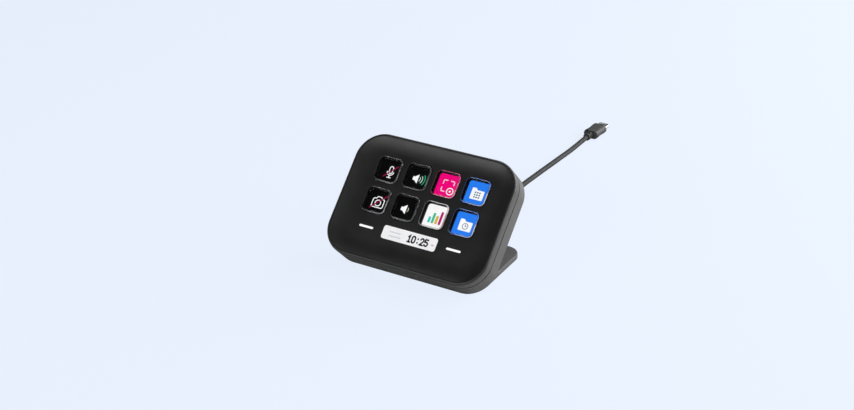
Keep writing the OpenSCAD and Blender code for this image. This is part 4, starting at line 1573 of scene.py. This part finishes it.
@dataclass
class Plug:
    """The cord's plug: a neck with flex grooves, a waisted grip, and a steel shell with its contacts.

    Millimetres. The tip, a groove and the lip are pairs of a distance and of what the width and the height
    lose there. The shoulder has its first share and its length, the waist its start and its length, and the
    end's rounding its depth and what it cuts off. Contact stations are measured back from the shell's end.
    """

    neck: float = 5.1
    neck_l: float = 5.0
    tip: tuple[Pair, ...] = ((0.0, 0.6), (0.2, 0.0))
    grooves: tuple[float, ...] = (0.9, 2.1, 3.3)
    groove: tuple[Pair, ...] = ((0.0, 0.0), (0.12, 0.7), (0.48, 0.7), (0.6, 0.0))
    grip: Pair = (11.0, 6.2)
    grip_end: float = 20.0
    shoulder: Pair = (0.35, 1.6)
    waist: float = 0.5
    waist_z: Pair = (7.5, 10.0)
    end_round: Pair = (0.6, 1.2)
    shell: Pair = (8.3, 2.5)
    shell_l: float = 6.6
    lip: tuple[Pair, ...] = ((0.2, 0.0), (0.06, 0.1), (0.0, 0.3), (0.06, 0.51), (0.25, 0.6), (1.0, 0.6))
    wall: float = 0.3
    lining: float = 0.35
    lining_z: Pair = (0.65, 1.0)
    contacts: int = 6
    contact_pitch: float = 0.9
    contact: tuple[Triple, ...] = ((-5.9, 0.35, 0.2), (-1.4, 0.35, 0.2), (-1.2, 0.35, 0.08))

    def grip_piece(self) -> Piece:
        """Makes the neck and the grip as one loft.

        Over the shoulder the size is the full one times first + (1 - first) sin t, at reach (1 - cos t) past
        the neck. At the waist the size loses waist times sin(pi share) squared, and at the end it loses
        inset (1 - cos t) while the place goes on by depth sin t.

        Returns:
            The grip, which rides on the housing.
        """
        necks = [(start + along, cut) for start in self.grooves for along, cut in self.groove]
        along, cut = np.array([*self.tip, *necks, (self.neck_l, 0.0)]).T
        neck = np.stack([along, self.neck - cut, self.neck - cut], axis=1)
        wide, tall = self.grip
        first, reach = self.shoulder
        turn = np.linspace(first, 1, 6) * math.pi / 2
        share = first + (1 - first) * np.sin(turn)
        shoulder = np.stack([self.neck_l + reach * (1 - np.cos(turn)), wide * share, tall * share], axis=1)
        start, length = self.waist_z
        share = np.linspace(0, 1, 13)
        pull = self.waist * np.sin(math.pi * share) ** 2
        waist = np.stack([start + share * length, wide - pull, tall - pull], axis=1)
        depth, inset = self.end_round
        turn = np.linspace(0, 1, 5) * math.pi / 2
        cut = inset * (1 - np.cos(turn))
        end = np.stack([self.grip_end - depth + depth * np.sin(turn), wide - cut, tall - cut], axis=1)
        shape = Shape("plug_grip_moulded", [Plastics.GRIP.value])
        shape.close(loft(np.vstack([neck, shoulder, waist, end]), steps=10))
        return seat(shape.build(PLUG_PLACE, 40), HOUSING, "grip_plastic", "plug_grip_body")

    def shell_piece(self) -> Piece:
        """Makes the shell with its rolled lip, the black lining inside it and two rows of contacts.

        Returns:
            The shell, which rides on the housing.
        """
        wide, tall = self.shell
        low, high = self.grip_end, self.grip_end + self.shell_l
        metal = [(low, wide, tall)] + [(high - drop, wide - cut, tall - cut) for drop, cut in self.lip]
        rim = 2 * (self.wall + self.lining)
        back, front = self.lining_z
        liner = [metal[-1], (high - front, wide - rim, tall - rim), (low + back, wide - rim, tall - rim)]
        shape = Shape("plug_shell_steel", [PLUG_STEEL, Plastics.TIE.value, CONTACT_GOLD])
        shape.close_pair(loft(metal), loft(liner), (0, 1, 0, 1))
        strip = loft([(high + z, across, thick) for z, across, thick in self.contact], 0.03, 2)
        for side in (-1, 1):
            for k in range(self.contacts):
                x = (k - (self.contacts - 1) / 2) * self.contact_pitch
                shape.close(strip + np.array([x, side * (tall - rim) / 2, 0.0]), 2)
        return seat(shape.build(PLUG_PLACE), HOUSING, "plug_steel", "plug_shell")


# ---------------------------------------------------------------- studio


@dataclass
class Studio:
    """Floor, light and camera. Metres.

    Attributes:
        camera_at: the camera's place.
        camera_right: the picture's right in the scene.
        camera_down: the picture's down in the scene.
        lens: focal length in millimetres.
        sensor: sensor width in millimetres.
        pale: colour of floor and surround where the camera sees them.
        neutral: their colour where they light the object.
        floor_half: half the floor's side.
        floor_matte: share of lamp light that the floor gives back to the object.
        floor_seen: the same where the camera sees the floor.
        floor_glow: the floor's own light there.
        shade_reach: how near the object the glow of the floor that is mirrored in it carries a painted shade.
        shade_power: how strongly it does.
        world_fill: share of the surround's light that dull surfaces get.
        world_low: the surround's brightness at the horizon.
        world_high: its brightness overhead.
        world_edge: sines of the heights between which it changes.
        panel_way: direction of the soft panel.
        panel_reach: cosines of the angles from there between which the panel fades in.
        panel_level: the panel's brightness.
        lamp_aim: the point that every lamp faces.
        lamps: name, place, size and watts of each.
    """

    camera_at: Triple = (0.3866767, -0.6717675, 0.4323282)
    camera_right: Triple = (0.8668588, 0.4985538, 0.0)
    camera_down: Triple = (0.2264308, -0.3937057, -0.8909124)
    lens: float = 62.5429
    sensor: float = 36.0
    pale: str = "eaf2ff"
    neutral: str = "f1f1f0"
    floor_half: float = 6.0
    floor_matte: float = 0.85
    floor_seen: float = 0.08
    floor_glow: float = 0.93
    shade_reach: float = 0.12
    shade_power: float = 4.0
    world_fill: float = 0.4
    world_low: float = 1.0
    world_high: float = 0.03
    world_edge: Pair = (0.0, 0.3)
    panel_way: Triple = (-0.25, 0.5, 0.83)
    panel_reach: Pair = (0.94, 0.975)
    panel_level: float = 5.0
    lamp_aim: Triple = (0.0, 0.0, 0.03)
    lamps: tuple[tuple[str, Triple, Pair, float], ...] = (
        ("right lamp", (0.7, 0.55, 0.38), (1.5, 0.66), 18.5),
        ("front lamp", (-0.35, -1.0, 0.5), (0.9, 0.4), 4.0),
        ("upper front lamp", (0.45, -0.75, 0.8), (0.9, 0.7), 1.7),
        ("top lamp", (0.4, 0.1, 1.1), (0.6, 0.6), 1.5),
    )

    def camera(self) -> None:
        """Makes the camera at its measured place."""
        data = bpy.data.cameras.new("camera")
        data.lens, data.sensor_width, data.sensor_fit = self.lens, self.sensor, "HORIZONTAL"
        right, down = Vector(self.camera_right).normalized(), Vector(self.camera_down).normalized()
        turn = Matrix((right, -down, -right.cross(down))).transposed().to_4x4()
        made = linked("camera", data)
        made.matrix_world = Matrix.Translation(self.camera_at) @ turn
        bpy.context.scene.camera = made

    def floor(self) -> None:
        """Makes the pale floor, which keeps the object's shadow and glows evenly where the camera sees it."""
        mesh = bpy.data.meshes.new("floor")
        half = self.floor_half
        corners = [(-half, -half, 0), (half, -half, 0), (half, half, 0), (-half, half, 0)]
        mesh.from_pydata(corners, [], [(0, 1, 2, 3)])
        linked("floor", mesh)
        material = bpy.data.materials.new("pale studio floor")
        tree = fresh_tree(material)
        rays = add_node(tree, "LightPath").outputs
        # Ambient occlusion dims the glow that glossy rays see near the object: a painted shade in the floor's
        # mirror image, beside the real shadow of its matte part.
        sky = add_node(tree, "AmbientOcclusion", {"Distance": self.shade_reach}, samples=8).outputs["AO"]
        shade = add_node(tree, "Math", {0: sky, 1: self.shade_power}, operation="POWER").outputs[0]
        glossy = add_node(tree, "Math", {0: rays["Is Glossy Ray"], 1: shade}, operation="MULTIPLY").outputs[0]
        looks = {0: rays["Is Camera Ray"], 1: rays["Is Transmission Ray"]}
        direct = add_node(tree, "Math", looks, operation="MAXIMUM").outputs[0]
        seen = add_node(tree, "Math", {0: direct, 1: glossy}, operation="MAXIMUM").outputs[0]
        ends = {1: shaded(self.neutral, self.floor_matte), 2: shaded(self.pale, self.floor_seen)}
        colour = add_node(tree, "MixRGB", {0: seen, **ends}).outputs[0]
        tint = add_node(tree, "MixRGB", {0: direct, 1: linear(self.neutral), 2: linear(self.pale)}).outputs[0]
        glow = add_node(tree, "Math", {0: seen, 1: self.floor_glow}, operation="MULTIPLY").outputs[0]
        matte = add_node(tree, "BsdfDiffuse", {"Color": colour}).outputs[0]
        light = add_node(tree, "Emission", {"Color": tint, "Strength": glow}).outputs[0]
        both = add_node(tree, "AddShader", {0: matte, 1: light}).outputs[0]
        add_node(tree, "OutputMaterial", {"Surface": both})
        mesh.materials.append(material)

    def lamp(self, name: str, at: Triple, size: Pair, power: float) -> None:
        """Makes one soft rectangular lamp that faces the object.

        Args:
            name: the lamp's name.
            at: its place.
            size: its width and height.
            power: its watts.
        """
        data = bpy.data.lights.new(name, "AREA")
        data.shape, data.size, data.size_y, data.energy = "RECTANGLE", size[0], size[1], power
        turn = (Vector(self.lamp_aim) - Vector(at)).to_track_quat("-Z", "Y").to_matrix().to_4x4()
        linked(name, data).matrix_world = Matrix.Translation(at) @ turn

    def world(self) -> None:
        """Makes the surround: pale at the horizon, dim overhead, with a soft panel above and behind.

        The camera sees an even pale backdrop. Only mirroring surfaces see the panel, and dull ones get a
        share of the rest.
        """
        world = bpy.data.worlds.new("studio")
        bpy.context.scene.world = world
        tree = fresh_tree(world)
        way = add_node(tree, "TexCoord").outputs["Generated"]
        up = add_node(tree, "SeparateXYZ", {0: way}).outputs["Z"]
        towards = add_node(tree, "VectorMath", {0: way, 1: self.panel_way}, operation="DOT_PRODUCT")
        levels = []
        for value, edge, low, high in (
            (towards.outputs["Value"], self.panel_reach, 0.0, self.panel_level),
            (up, self.world_edge, self.world_low, self.world_high),
        ):
            ends = {"From Min": edge[0], "From Max": edge[1], "To Min": low, "To Max": high}
            step = add_node(tree, "MapRange", {"Value": value, **ends}, interpolation_type="SMOOTHSTEP")
            levels.append(step.outputs[0])
        panel, level = levels
        rays = add_node(tree, "LightPath").outputs
        camera, glossy = rays["Is Camera Ray"], rays["Is Glossy Ray"]
        mirrors = {0: glossy, 1: rays["Is Transmission Ray"]}
        sharp = add_node(tree, "Math", mirrors, operation="MAXIMUM").outputs[0]
        gain = add_node(tree, "MapRange", {"Value": sharp, "To Min": self.world_fill, "To Max": 1.0})
        rest = add_node(tree, "Math", {0: level, 1: gain.outputs[0]}, operation="MULTIPLY").outputs[0]
        shown = add_node(tree, "Math", {0: panel, 1: glossy, 2: rest}, operation="MULTIPLY_ADD").outputs[0]
        strength = add_node(tree, "Math", {0: camera, 1: shown}, operation="MAXIMUM").outputs[0]
        tint = add_node(tree, "MixRGB", {0: camera, 1: linear(self.neutral), 2: linear(self.pale)}).outputs[0]
        light = add_node(tree, "Background", {"Color": tint, "Strength": strength}).outputs[0]
        add_node(tree, "OutputWorld", {"Surface": light})

    def build(self) -> None:
        """Makes the whole studio."""
        bpy.context.scene.view_settings.view_transform = "Standard"
        self.camera()
        self.floor()
        self.world()
        for lamp in self.lamps:
            self.lamp(*lamp)


NODE_FINISHES: dict[str, Finish] = {
    "foot_pad": PAD_RUBBER, "key_guide": Plastics.GUIDE.value, "key_mat": MAT_RUBBER,
    "contact_board": DARK_LAMINATE, "display_panel": PANEL_GLASS, "display_carrier": Plastics.CARRIER.value,
    "info_display": PANEL_GLASS, "touch_board_left": LAMINATE, "touch_board_right": LAMINATE,
    "main_board": LAMINATE, "processor_chip": Plastics.CHIP.value, "memory_chip": Plastics.CHIP.value,
    "flex_sockets": Plastics.SOCKET.value, "cord_socket": Plastics.SOCKET.value,
    "panel_flex": Plastics.FILM.value, "contact_flex": Plastics.FILM.value, "info_flex": Plastics.FILM.value,
    "carrier_screws": SCREW_STEEL, "board_screws": SCREW_STEEL, "case_screws": SCREW_STEEL,
    "lead_wires": Plastics.WIRE.value,
}


def dress_nodes() -> None:
    """Gives each node that shows as it is its own finish."""
    for name, finish in NODE_FINISHES.items():
        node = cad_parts[name]
        node.data.materials.clear()
        node.data.materials.append(finish.material())
        LOG.info("%s: %s", name, finish.name)


def main() -> None:
    """Builds the studio and then the object, class by class."""
    logging.basicConfig(level=logging.INFO, format="%(name)s: %(message)s")
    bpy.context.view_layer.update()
    Studio().build()
    dress_nodes()
    plug = Plug()
    Cord().build_cord([CableTie().build(), plug.grip_piece(), plug.shell_piece()])
    StrainRelief().build()
    FrontShell().build()
    RearShell().build()
    cap, cells = ClearKey(), PictureCells()
    for number, (place, picture) in enumerate(zip(key_places(), PICTURES), 1):
        cap.build(number, place)
        cells.build(number, place, picture)
    bar = InfoBar()
    bar.lens()
    bar.picture()
    for side, name in ((-1, "touch_bar_left"), (1, "touch_bar_right")):
        TouchBar().build(side, name)


if __name__ == "__main__":
    main()
